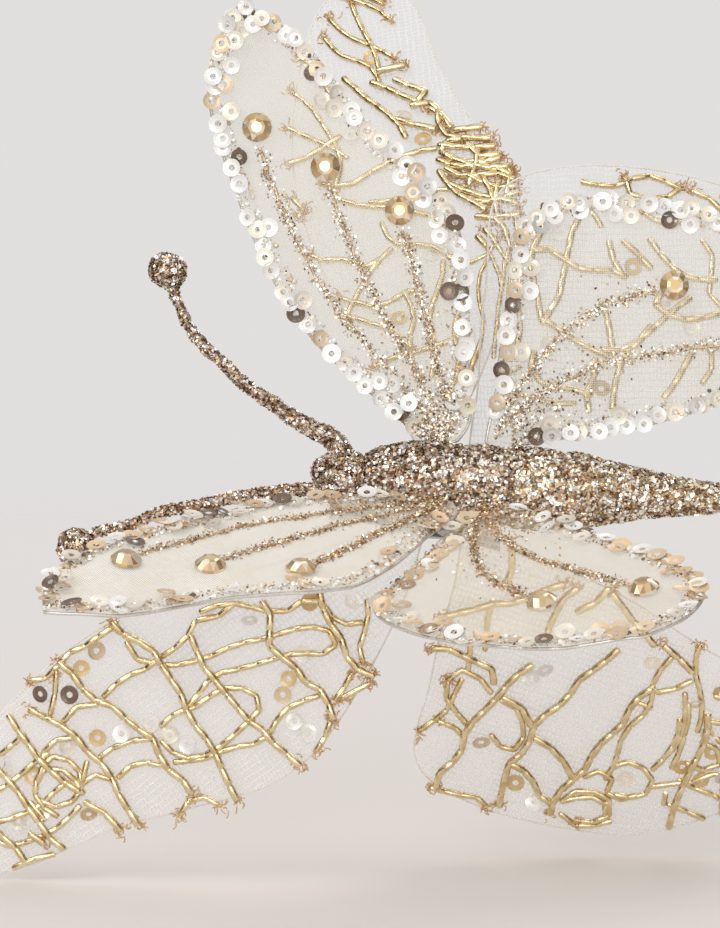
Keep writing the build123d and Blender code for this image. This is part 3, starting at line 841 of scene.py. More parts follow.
def roughened(piece: bpy.types.Object, scale: float, depth: float) -> None:
    """Push a surface in and out unevenly, as coarse glitter glue dries.

    Args:
        piece: The piece to change.
        scale: Size of the lumps in millimetres.
        depth: How far they stand, in millimetres.
    """
    for corner in piece.data.vertices:
        spot = corner.co / (scale * MM)
        lump = noise.noise(spot) + 0.5 * noise.noise(spot * 2.3)
        corner.co += corner.normal * (lump * depth * MM)


@dataclass
class TurnedPart:
    """A part of the body that is round about the body's axis and coated with glitter."""

    name: str
    profile: tuple[tuple[float, float], ...]
    coat: bpy.types.Material
    mixture: Mixture
    slot: str
    flakes: int
    rise: float = 0.0
    seed: int = 1
    behind: Mixture | None = None

    def core(self) -> bpy.types.Object:
        """Spin the profile and roughen it.

        Returns:
            The core, which stands for the solid of the same name.
        """
        line = smooth_line(self.profile, 26)
        origin = THORAX_CENTRE + BACK * self.rise
        rim = [(origin + TAIL * float(x) + BACK * max(float(r), 0.0)) * MM for x, r in line]
        mesh = bpy.data.meshes.new(f"{self.name}_core")
        mesh.from_pydata(rim, [(i, i + 1) for i in range(len(rim) - 1)], [])
        piece = linked(mesh.name, mesh)
        pick_only(piece)
        edit_all()
        bpy.ops.mesh.spin(steps=48, angle=math.tau, center=tuple(origin * MM), axis=tuple(TAIL))
        bpy.ops.mesh.select_all(action="SELECT")
        bpy.ops.mesh.remove_doubles(threshold=0.02 * MM)
        bpy.ops.mesh.normals_make_consistent(inside=False)
        bpy.ops.object.mode_set(mode="OBJECT")
        corners, faces = in_order(mesh, MM * MM)
        mesh.clear_geometry()
        mesh.from_pydata(corners.tolist(), [], faces)
        roughened(piece, scale=2.6, depth=0.45)
        bpy.ops.object.shade_smooth()
        return dress(piece, "body", self.slot, self.coat, self.name)

    def build(self) -> None:
        """Make the core and its coat of flakes."""
        core = self.core()
        coat = flake_coat(f"{self.name}_flakes", core, self.flakes, self.mixture, self.seed,
                          behind=self.behind)
        dress(coat, "body", self.slot, FLAKES)


@dataclass
class Antenna:
    """A coated wire that grows thicker towards the head, with a glittered ball on its end."""

    name: str
    route: tuple[tuple[float, float, float], ...]
    root_radius: float
    tip_radius: float = 0.75
    ball_radius: float = 3.0
    stem_flakes: int = 3000
    ball_flakes: int = 1500
    seed: int = 1
    mixture: Mixture = SILVER_GLITTER

    def build(self) -> None:
        """Make the stem, the ball and their flakes."""
        line = smooth_line(self.route, 64)
        reach = np.linspace(0.0, 1.0, len(line))
        widths = self.tip_radius + (self.root_radius - self.tip_radius) * (1 - reach) ** 2.2
        world = (line + np.array(THORAX_CENTRE)) * MM
        stem = wire_piece(f"{self.name}_wire", [world], MM, [widths], roundness=3)
        roughened(stem, scale=1.7, depth=0.32)
        dress(stem, self.name, "antenna_glitter", SILVER_COAT, f"{self.name}_stem")
        coat = flake_coat(f"{self.name}_stem_flakes", stem, self.stem_flakes, self.mixture,
                          self.seed, size=0.5)
        dress(coat, self.name, "antenna_glitter", FLAKES)
        bpy.ops.mesh.primitive_ico_sphere_add(subdivisions=4, radius=self.ball_radius * MM * 0.95,
                                              location=tuple(world[-1]))
        ball = bpy.context.active_object
        ball.name = ball.data.name = f"{self.name}_ball"
        bpy.ops.object.transform_apply(location=True)
        roughened(ball, scale=1.9, depth=0.4)
        bpy.ops.object.shade_smooth()
        dress(ball, self.name, "silver_glitter", SILVER_COAT, f"{self.name}_tip")
        coat = flake_coat(f"{self.name}_ball_flakes", ball, self.ball_flakes, self.mixture,
                          self.seed + 1, size=0.55)
        dress(coat, self.name, "silver_glitter", FLAKES)


ROOT_RADIUS = 5.9
HINGE_TO_WING, WING_TO_FACE = 0.4, 0.2  # Heights in the direction that the wing faces.
CLOTH_ROWS, CLOTH_COLUMNS = 60, 22
SEWN_HEIGHT = 0.35
PRESSED_SEQUIN, PRESSED_DOT, PRESSED_CORD = 0.16, 0.1, 0.25  # Heights next to another wing.
# Waves in the cloth: share of the billow, length along, length across, step between wings.
BILLOWS = ((1.0, 16.0, 11.0, 3.7), (0.35, 5.0, 5.0, 1.3))
BILLOW_FADE = 12.0


@dataclass
class Wing:
    """What all wings share: their place on the thorax, their outline and their cloth."""

    name: str
    side: int
    station: float
    around: float
    heading: float
    climb: float
    twist: float
    length: float
    width: float
    lead: Shares
    trail: Shares
    seed: int
    billow: float = 0.5
    rim_radius: float = 0.28
    neighbour: tuple[float, float, float, float] = (0.0, 0.0, 0.0, 0.0)

    def near_neighbour(self, places: Points, margin: float = 0.0) -> np.ndarray:
        """Tell which places come close to the next wing when either wing is bent.

        Args:
            places: Places along and across the wing, in millimetres.
            margin: How far round that part also counts, in millimetres.

        Returns:
            True for each place in the part that neighbour gives in shares of length and width.
        """
        inner, outer, low, high = self.neighbour
        along, across = places[:, 0], places[:, 1] * self.side
        near = (along > inner * self.length - margin) & (along < outer * self.length + margin)
        near &= (across > low * self.width - margin) & (across < high * self.width + margin)
        return near & (outer > inner)

    def hinge(self) -> Vector:
        """Return the point, in millimetres, where the wing's wire bends."""
        around = math.radians(self.around)
        outwards = RIGHT * math.cos(around) + BACK * math.sin(around)
        return THORAX_CENTRE + TAIL * self.station + outwards * ROOT_RADIUS

    def axes(self) -> tuple[Vector, Vector, Vector]:
        """Return directions along the wing, across it and out of the face that shows."""
        heading, climb = math.radians(self.heading), math.radians(self.climb)
        twist = math.radians(self.twist)
        along = Vector((-math.cos(heading) * math.cos(climb), -math.sin(heading) * math.cos(climb),
                        math.sin(climb)))
        level = Vector((-math.sin(heading), math.cos(heading), 0.0))
        lead = level * math.cos(twist) + along.cross(level) * math.sin(twist)
        return along, lead * self.side, along.cross(lead) * self.side

    def placed(self, local: Points) -> Points:
        """Move places on the flat wing to where the wing is.

        Args:
            local: Places along, across and above the wing, in millimetres.

        Returns:
            The same places in metres.
        """
        axes = np.array([list(axis) for axis in self.axes()])
        origin = np.array(self.hinge() + self.axes()[2] * HINGE_TO_WING)
        return (local @ axes + origin) * MM

    def at(self, share: tuple[float, float]) -> tuple[float, float]:
        """Turn shares of the wing's length and width into a place on it."""
        return share[0] * self.length, share[1] * self.width * self.side

    def edges(self, count: int) -> tuple[Points, Points]:
        """Return the leading and the trailing edge, both from the base to the tip."""
        lead = smooth_line([self.at(share) for share in self.lead], count)
        trail = smooth_line([self.at(share) for share in self.trail], count)
        return lead, trail[::-1]

    def outline(self, count: int) -> Points:
        """Return the closed outline from the base out along the lead and back."""
        lead, trail = self.edges(count)
        return np.concatenate([lead, trail[::-1][1:]])

    def extent(self, count: int) -> tuple[Points, Points]:
        """Return the outline's lowest and highest places along and across the wing."""
        line = self.outline(count)
        return line.min(axis=0), line.max(axis=0)

    def lift(self, places: Points) -> Points:
        """Tell how far the cloth stands out of its plane at places on it.

        Args:
            places: Places along and across the wing, in millimetres.

        Returns:
            One height in millimetres for each place.
        """
        heights = np.zeros(len(places))
        for share, along, across, step in BILLOWS:
            waves = [noise.noise(Vector((x / along, y / across, self.seed * step)))
                     for x, y in places[:, :2]]
            heights += share * self.billow * np.array(waves)
        return heights * np.clip(places[:, 0] / BILLOW_FADE, 0.0, 1.0)

    def on_cloth(self, places: Points, above: object) -> Points:
        """Lay places on the cloth.

        Args:
            places: Places along and across the wing, in millimetres.
            above: How far over the cloth, in millimetres.

        Returns:
            The places in metres.
        """
        return self.placed(np.c_[places[:, :2], self.lift(places) + WING_TO_FACE + above])

    def facing(self, count: int) -> Points:
        """Return the wing's normal, once for each of a number of shapes."""
        return np.tile(np.array(self.axes()[2]), (count, 1))

    def cloth(self, kind: str, material: bpy.types.Material, slot: str) -> bpy.types.Object:
        """Stretch the cloth between the two edges.

        Args:
            kind: What the cloth's solid is called.
            material: The cloth's finish.
            slot: A name for the cloth's finish.

        Returns:
            The cloth.
        """
        lead, trail = self.edges(CLOTH_ROWS)
        share = np.linspace(0.0, 1.0, CLOTH_COLUMNS)[None, :, None]
        grid = (trail[:, None, :] * (1 - share) + lead[:, None, :] * share).reshape(-1, 2)
        number = np.arange(len(grid)).reshape(CLOTH_ROWS, CLOTH_COLUMNS)
        ends = (number[:-1, :-1], number[1:, :-1], number[1:, 1:], number[:-1, 1:])
        faces = np.stack(ends, axis=2).reshape(-1, 4)[:, ::self.side].tolist()
        piece = mesh_piece(f"{self.name}_{kind}_cloth", self.on_cloth(grid, 0.0), faces,
                           chart=grid, smooth=True)
        pick_only(piece)
        edit_all()
        bpy.ops.mesh.remove_doubles(threshold=0.01 * MM)
        bpy.ops.object.mode_set(mode="OBJECT")
        return dress(piece, self.name, slot, material, f"{self.name}_{kind}")

    def declare(self, cloth: bpy.types.Object, extras: list[bpy.types.Object]) -> None:
        """Work out the area inside the wing's outline; nothing is done with it.

        Args:
            cloth: The cloth. Not used.
            extras: The pieces that are fixed to it. Not used.
        """
        line = self.outline(80)
        turn = np.roll(line, -1, axis=0)
        area = abs((line[:, 0] * turn[:, 1] - turn[:, 0] * line[:, 1]).sum()) / 2

    def rim(self, material: bpy.types.Material) -> bpy.types.Object:
        """Bend the rim wire round the edge, with its root in the thorax.

        Args:
            material: The wire's finish.

        Returns:
            The wire.
        """
        behind_cloth, root_girth = 0.25, 1.5
        line = self.outline(70)
        ring = np.c_[line, self.lift(line) - behind_cloth]
        base = (line[0] + line[-1]) / 2
        root = np.array([[0.0, 0.0, -HINGE_TO_WING], [*(base * 0.6), -HINGE_TO_WING],
                         [*base, -0.3]])
        routes = [self.placed(np.concatenate([ring, ring[:1]])), self.placed(root)]
        piece = wire_piece(f"{self.name}_rim_wire", routes, self.rim_radius * MM,
                           [np.ones(len(ring) + 1), np.full(len(root), root_girth)])
        return dress(piece, self.name, "rim_wire", material, f"{self.name}_wire")

    def inset_places(self, step: float, near: float, far: float,
                     rng: np.random.Generator) -> Points:
        """Pick places just inside the edge.

        Args:
            step: Distance between neighbours along the edge, in millimetres.
            near: Least distance from the edge; below zero it hangs over.
            far: Greatest distance from the edge.
            rng: The seeded source of chance.

        Returns:
            The places along and across the wing, in millimetres.
        """
        bare, waver, ahead = 0.03, 0.35, 0.5
        line = self.outline(160)
        marks = travelled(line)
        stops = np.arange(marks[-1] * bare, marks[-1] * (1 - bare), step)
        stops = stops + rng.uniform(-waver, waver, len(stops)) * step
        spots = looked_up(line, marks, stops)
        heading = looked_up(line, marks, stops + ahead) - spots
        heading /= np.linalg.norm(heading, axis=1, keepdims=True) + 1e-9
        inwards = np.c_[heading[:, 1], -heading[:, 0]] * self.side
        return spots + inwards * rng.uniform(near, far, (len(spots), 1))

    def sequins(self, places: Points, mixture: Mixture, seed: int, tilt: float = 0.16,
                layers: int = 3) -> bpy.types.Object:
        """Sew sequins at places on the cloth.

        Args:
            places: Where they go, in millimetres.
            mixture: Their colours.
            seed: Fixes their lean and colours.
            tilt: How far they lean.
            layers: How many deep they overlap.

        Returns:
            The sequins as one piece.
        """
        rng = np.random.default_rng(seed)
        count = len(places)
        layer = 0.28 * (np.arange(count) % layers)
        above = SEWN_HEIGHT + layer + rng.uniform(0.0, 0.12, count)
        above = np.where(self.near_neighbour(places), PRESSED_SEQUIN, above)
        turns = turned(self.facing(count), rng, tilt, rng.uniform(0.9, 1.04, count))
        return SEQUIN.copies(f"{self.name}_sewn_sequins", self.on_cloth(places, above), turns,
                             mixture.draw(count, rng))


VEIN_FLAKES, ROOT_FLAKES, ROOT_REACH = 900, 2600, 24.0
GLUE_RADIUS = 0.5
# What lies along the edge: its spacing, least inset and greatest inset.
FIRST_ROW, SECOND_ROW = (2.65, 0.1, 1.1), (3.4, 1.8, 3.4)
EDGE_DOTS, EDGE_FLAKES = (0.75, -0.3, 2.8), (0.16, -0.3, 2.6)


@dataclass
class OrganzaWing(Wing):
    """A sheer wing with glitter veins that end in stones, and sequins round its edge.

    The vein glue starts past clear_root and loose flakes past bare_root, so that neither touches
    the body when the wing is bent. Sequins next to another wing move clear of its wire.
    """

    veins: tuple[Shares, ...] = ()
    stones: Shares = ()
    mixture: Mixture = RIM_SEQUINS
    glitter: Mixture = VEIN_GLITTER
    cloth_finish: bpy.types.Material = ORGANZA
    lead_sequins: float = 1.0
    trail_sequins: float = 1.0
    second_row: float = 0.45
    clear_root: float = 0.0
    bare_root: float = 0.0
    clear_of_wire: float = 2.1

    def vein_pieces(self) -> list[bpy.types.Object]:
        """Lay each vein as a ridge of glue under loose flakes."""
        rng = np.random.default_rng(self.seed + 20)
        ridges, widths, spots = [], [], []
        for vein in self.veins:
            line = smooth_line([self.at(share) for share in vein], 46)
            reach = np.linspace(0.0, 1.0, len(line))
            line = line + rng.normal(0.0, 0.12, line.shape)
            kept = line[:, 0] > self.clear_root
            ridges.append(self.on_cloth(line, 0.0)[kept])
            widths.append((0.3 + 0.25 * reach + 0.2 * rng.random(len(line)))[kept])
            picks = rng.beta(1.3, 1.1, VEIN_FLAKES)
            spread = (0.3 + 0.35 * picks)[:, None] * rng.normal(0.0, 1.0, (VEIN_FLAKES, 2))
            spots.append(looked_up(line, reach, picks) + spread)
        ridge = wire_piece(f"{self.name}_vein_glue", ridges, GLUE_RADIUS * MM, widths)
        dress(ridge, self.name, "vein_glitter", VEIN_COAT, f"{self.name}_veins")
        places = np.concatenate(spots)
        above = rng.uniform(0.05, 0.5, len(places))
        turns = turned(self.facing(len(places)), rng, 0.55, rng.uniform(0.25, 0.62, len(places)))
        flakes = FLAKE.copies(f"{self.name}_vein_flakes", self.on_cloth(places, above), turns,
                              self.glitter.draw(len(places), rng))
        return [ridge, dress(flakes, self.name, "vein_glitter", FLAKES)]

    def stone_piece(self) -> bpy.types.Object:
        """Glue a cut stone on the end of each vein."""
        rng = np.random.default_rng(self.seed + 30)
        places = np.array([self.at(share) for share in self.stones])
        turns = turned(self.facing(len(places)), rng, 0.04, np.ones(len(places)))
        # Each facet gets a tint of its own: painted reflections over the stone's colour.
        sizes = [len(face) for face in GEM.faces]
        tints = [np.repeat(STONE_COLOURS_AND_REFLECTIONS.draw(len(sizes), rng), sizes, axis=0) for _ in places]
        stones = GEM.copies(f"{self.name}_cut_stones", self.on_cloth(places, 0.2), turns,
                            np.array(tints))
        return dress(stones, self.name, "gem", STONE, f"{self.name}_gems")

    def edge_pieces(self) -> list[bpy.types.Object]:
        """Trim the edge with sequins, tiny discs and flakes."""
        rng = np.random.default_rng(self.seed + 40)
        rows = []
        for row, share in ((FIRST_ROW, 1.0), (SECOND_ROW, self.second_row)):
            places = self.inset_places(*row, rng)
            if row is FIRST_ROW:
                places[self.near_neighbour(places), 0] += self.clear_of_wire
            fore = np.arange(len(places)) < len(places) / 2
            kept = np.where(fore, self.lead_sequins, self.trail_sequins) * share
            rows.append(places[rng.random(len(places)) < kept])
        sequins = self.sequins(np.concatenate(rows), self.mixture, self.seed + 41)
        dress(sequins, self.name, "sequin", SEQUINS, f"{self.name}_sequins")
        places = self.inset_places(*EDGE_DOTS, rng)
        turns = turned(self.facing(len(places)), rng, 0.3, rng.uniform(0.7, 1.1, len(places)))
        above = np.where(self.near_neighbour(places), PRESSED_DOT, SEWN_HEIGHT)
        dots = DOT.copies(f"{self.name}_edge_dots", self.on_cloth(places, above), turns,
                          DOTS.draw(len(places), rng))
        dress(dots, self.name, "sequin", SEQUINS)
        places = np.concatenate([self.inset_places(*EDGE_FLAKES, rng), self.root_places(rng)])
        places = places[places[:, 0] > self.bare_root]
        turns = turned(self.facing(len(places)), rng, 0.6, rng.uniform(0.25, 0.65, len(places)))
        above = rng.uniform(0.05, 0.4, len(places))
        flakes = FLAKE.copies(f"{self.name}_edge_flakes", self.on_cloth(places, above), turns,
                              self.glitter.draw(len(places), rng))
        dress(flakes, self.name, "vein_glitter", FLAKES)
        return [sequins, dots, flakes]

    def root_places(self, rng: np.random.Generator) -> Points:
        """Pick places for the glitter that is thick at the wing's root and thins outwards."""
        outline = self.outline(80)
        reach = rng.exponential(5.5, (ROOT_FLAKES, 1))
        spots = reach * np.c_[np.ones(ROOT_FLAKES), rng.normal(0.0, 0.8, ROOT_FLAKES)]
        spots[:, 1] += outline[0, 1]
        return spots[inside(outline, spots) & (spots[:, 0] < ROOT_REACH)]

    def build(self) -> None:
        """Make the whole wing."""
        cloth = self.cloth("organza", self.cloth_finish, "organza")
        rim = self.rim(RIM_WIRE)
        extras = [rim, *self.vein_pieces(), self.stone_piece(), *self.edge_pieces()]
        self.declare(cloth, extras)


LOOP_HEIGHT, STROKE_HEIGHT = 0.45, 1.15
THREADS_PER_END, THREAD_RADIUS, LOOSE_SPOTS = 14, 0.12, 9


@dataclass
class MeshWing(Wing):
    """A wing of striped tulle that carries looping metallic cord and a few loose sequins.

    Strokes lie on top of loops. Both are given in shares of the wing's length and width, out to
    the share where a plainer net takes over.
    """

    strokes: tuple[Shares, ...] = ()
    loops: tuple[Shares, ...] = ()
    spots: Shares = ()
    traced_to: float = 0.7
    cord_radius: float = 0.62
    loop_radius: float = 0.52
    fringe: float = 3.0
    bead: float = 2.7
    rim_radius: float = 0.16

    def clipped(self, lines: list[Points], outline: Points, start: float) -> list[Points]:
        """Cut lines where they leave the wing.

        Args:
            lines: Places along and across the wing, line by line.
            outline: The wing's outline.
            start: Share of the wing's length where the lines may begin.

        Returns:
            The runs that lie on the wing.
        """
        return [run for line in lines for run in self.kept_runs(
            line, inside(outline, line) & (line[:, 0] > start * self.length))]

    @staticmethod
    def kept_runs(line: Points, keep: np.ndarray) -> list[Points]:
        """Split a line into its runs of kept places.

        Args:
            line: Places along and across the wing.
            keep: Which of the places are kept.

        Returns:
            The runs, without the shortest.
        """
        runs, run = [], []
        for place, held in zip(line, keep):
            if held:
                run.append(place)
            elif run:
                runs.append(np.array(run))
                run = []
        if run:
            runs.append(np.array(run))
        return [run for run in runs if len(run) > 3]

    def edge(self) -> Points:
        """Return the outline a little widened, as far out as cord and sequins reach."""
        outline = self.outline(80)
        return outline * 1.05 - outline.mean(axis=0) * 0.05

    def given_runs(self, given: tuple) -> list[Points]:
        """Return the given cords where they lie on the wing.

        Args:
            given: Each cord's places, in shares of the wing's length and width.

        Returns:
            The runs along and across the wing, in millimetres.
        """
        drawn = [smooth_line([self.at(share) for share in line], 60) for line in given]
        return self.clipped(drawn, self.edge(), 0.0)

    def hairpins(self, rng: np.random.Generator) -> list[Points]:
        """Draw cord that runs along the wing and turns back on itself in round bends."""
        gap, beyond, count = 4.6, 8.0, 40
        lines = []
        low, high = self.extent(60)
        turn = np.linspace(-math.pi / 2, math.pi / 2, 9)
        for number, offset in enumerate(np.arange(low[1] - beyond, high[1] + beyond, 2 * gap)):
            start, way, nearest, farthest = (
                (low[0], 1.0, 0.45, 0.9) if number % 2 == 0 else (high[0], -1.0, 0.2, 0.55))
            bend = low[0] + (high[0] - low[0]) * rng.uniform(nearest, farthest)
            travel = np.linspace(start, bend, count)
            cap = np.c_[bend + way * np.cos(turn) * gap / 2,
                        offset + gap / 2 + np.sin(turn) * gap / 2]
            path = np.concatenate([np.c_[travel, np.full(count, offset)], cap,
                                   np.c_[travel[::-1], np.full(count, offset + gap)]])
            path[:, 1] += (0.9 * np.sin(path[:, 0] / 6.0 + number * 1.7)
                           + 0.5 * np.sin(path[:, 0] / 2.7 + number))
            lines.append(self.leaned(path, 9.0))
        return lines

    def leaned(self, path: Points, lean: float) -> Points:
        """Turn a path in the wing's plane.

        Args:
            path: Places along and across the wing.
            lean: How far to turn it away from the wing's length, in degrees.

        Returns:
            The turned places.
        """
        angle = math.radians(lean) * self.side
        return np.c_[path[:, 0] * math.cos(angle) - path[:, 1] * math.sin(angle),
                     path[:, 0] * math.sin(angle) + path[:, 1] * math.cos(angle)]

    def crossings(self, rng: np.random.Generator) -> list[Points]:
        """Draw cord that winds back and forth across the wing."""
        gap, before, below, beyond = 7.6, 8.0, 4.0, 12.0
        lines = []
        low, high = self.extent(60)
        travel = np.linspace(0.0, high[1] - low[1] + beyond, 50)
        for number in range(int((high[0] - low[0]) / gap) + 3):
            start = np.array([low[0] - before + gap * number,
                              low[1] - below if self.side > 0 else high[1] + below])
            wave = 1.1 * np.sin(travel / 5.0 + number * 2.1) + rng.uniform(-0.8, 0.8)
            lines.append(start + self.leaned(np.c_[travel, wave], 81.0))
        return lines

    def beaded(self, line: Points, above: float, rng: np.random.Generator) -> tuple[Points, Points]:
        """Break a line into short straight lengths of cord with pinched joints.

        Args:
            line: Places along and across the wing.
            above: Height over the cloth in millimetres.
            rng: The seeded source of chance.

        Returns:
            The cord's points in metres, and its thickness at each.
        """
        pinch, short, pressed = 0.72, 0.09, 0.68
        runs = np.linalg.norm(np.diff(line, axis=0), axis=1).sum()
        count = max(int(runs / self.bead), 1) + 1
        joints = spaced(line, count)
        joints = joints + rng.normal(0.0, 0.09, joints.shape)
        heights = above + rng.uniform(-0.1, 0.15, count)
        joints = np.c_[joints, heights]
        steps = [start * (1 - share) + end * share for start, end in zip(joints, joints[1:])
                 for share in (0.0, short, 1 - short)]
        steps = np.array([*steps, joints[-1]])
        widths = [pinch, 1.0, 1.0] * (count - 1) + [pinch]
        low = self.near_neighbour(steps, 1.0)
        route = self.on_cloth(steps, np.where(low, PRESSED_CORD, steps[:, 2]))
        return route, np.where(low, pressed, 1.0) * widths

    def cord_piece(self) -> bpy.types.Object:
        """Couch all the cord on the tulle."""
        rng = np.random.default_rng(self.seed + 50)
        outline = self.outline(80)
        thin = self.loop_radius / self.cord_radius
        plain = [self.clipped(lines, outline, self.traced_to)
                 for lines in (self.hairpins(rng), self.crossings(rng))]
        routes, widths = [], []
        for given, more, above, girth in ((self.loops, plain[0], LOOP_HEIGHT, thin),
                                          (self.strokes, plain[1], STROKE_HEIGHT, 1.0)):
            for line in self.given_runs(given) + more:
                route, width = self.beaded(line, above, rng)
                routes.append(route)
                widths.append(width * girth)
        piece = wire_piece(f"{self.name}_metallic_cord", routes, self.cord_radius * MM, widths)
        return dress(piece, self.name, "gold_cord", CORD, f"{self.name}_cords")

    def fray_piece(self) -> bpy.types.Object:
        """Bunch short cut threads where a cord ends near the edge."""
        rng = np.random.default_rng(self.seed + 60)
        outline = self.outline(80)
        starts = []
        for run in self.given_runs(self.strokes + self.loops):
            for place in (run[0], run[-1]):
                if (np.linalg.norm(outline - place, axis=1).min() < self.fringe
                        and not self.near_neighbour(place[None], 2.0)[0]):
                    starts += list(place + rng.normal(0.0, 0.5, (THREADS_PER_END, 2)))
        routes = []
        steps = np.linspace(0.0, 1.0, 5)
        for place in starts:
            length = rng.uniform(0.4, 1.1)
            turn = rng.uniform(0.0, math.tau) + rng.uniform(-2.6, 2.6) * steps
            line = place + np.c_[np.cos(turn), np.sin(turn)] * (steps * length)[:, None]
            routes.append(self.on_cloth(line, 0.5 + 1.3 * steps * rng.uniform(-0.2, 1.0)))
        piece = wire_piece(f"{self.name}_frayed_threads", routes, THREAD_RADIUS * MM,
                           roundness=0)
        return dress(piece, self.name, "gold_cord", FRAY)

    def build(self) -> None:
        """Make the whole wing."""
        rng = np.random.default_rng(self.seed + 70)
        cloth = self.cloth("tulle", TULLE, "tulle")
        rim = self.rim(SELVAGE)
        outline = self.outline(80)
        low, high = self.extent(80)
        low[0] = self.traced_to * self.length
        free = rng.uniform(low, high, (40, 2))
        free = free[inside(outline * 0.94 + outline.mean(axis=0) * 0.06, free)][:LOOSE_SPOTS]
        given = np.array([self.at(share) for share in self.spots])
        places = np.concatenate([given[inside(self.edge(), given)], free])
        places = places[~self.near_neighbour(places, 1.6)]
        sequins = self.sequins(places, LOOSE_SEQUINS, self.seed + 71, tilt=0.28, layers=2)
        dress(sequins, self.name, "sequin", SEQUINS, f"{self.name}_sequins")
        self.declare(cloth, [rim, self.cord_piece(), self.fray_piece(), sequins])


@dataclass
class SpringClip:
    """The clip under the thorax: pressed jaws on a pin with a coiled spring."""

    turns: int = 4
    wire: float = 0.25
    coil: float = 0.97
    half_width: float = 0.75

    def build(self) -> None:
        """Dress the solids and wind the spring."""
        for node, material in (("clip_upper_jaw", PLAIN_STEEL), ("clip_lower_jaw", PLAIN_STEEL),
                               ("clip_pin", PLAIN_STEEL), ("clip_glue_pad", SET_GLUE),
                               ("spine_wire", RIM_WIRE)):
            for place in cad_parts[node].material_slots:
                place.material = material
        turn = np.linspace(0.0, math.tau * self.turns, 14 * self.turns)
        side = self.half_width
        helix = np.c_[np.sin(turn) * self.coil, -np.cos(turn) * self.coil,
                      np.linspace(-side, side, len(turn))]
        leg = np.concatenate([[[6.0, -2.45, -side], [2.8, -1.2, -side]], helix[:1]])
        helix = np.concatenate([helix, [[1.2, -0.2, side], [6.0, 1.8, side]]])
        for name, path, body, replaced in (("clip_coil", helix, "body", ("clip_spring",)),
                                           ("clip_coil_leg", leg, "clip_jaw", ())):
            route = (path @ np.array([TAIL, BACK, RIGHT]) + np.array(CLIP_PIN)) * MM
            spring = wire_piece(name, [route], self.wire * MM)
            dress(spring, body, "spring_steel", SPRING_STEEL, *replaced)


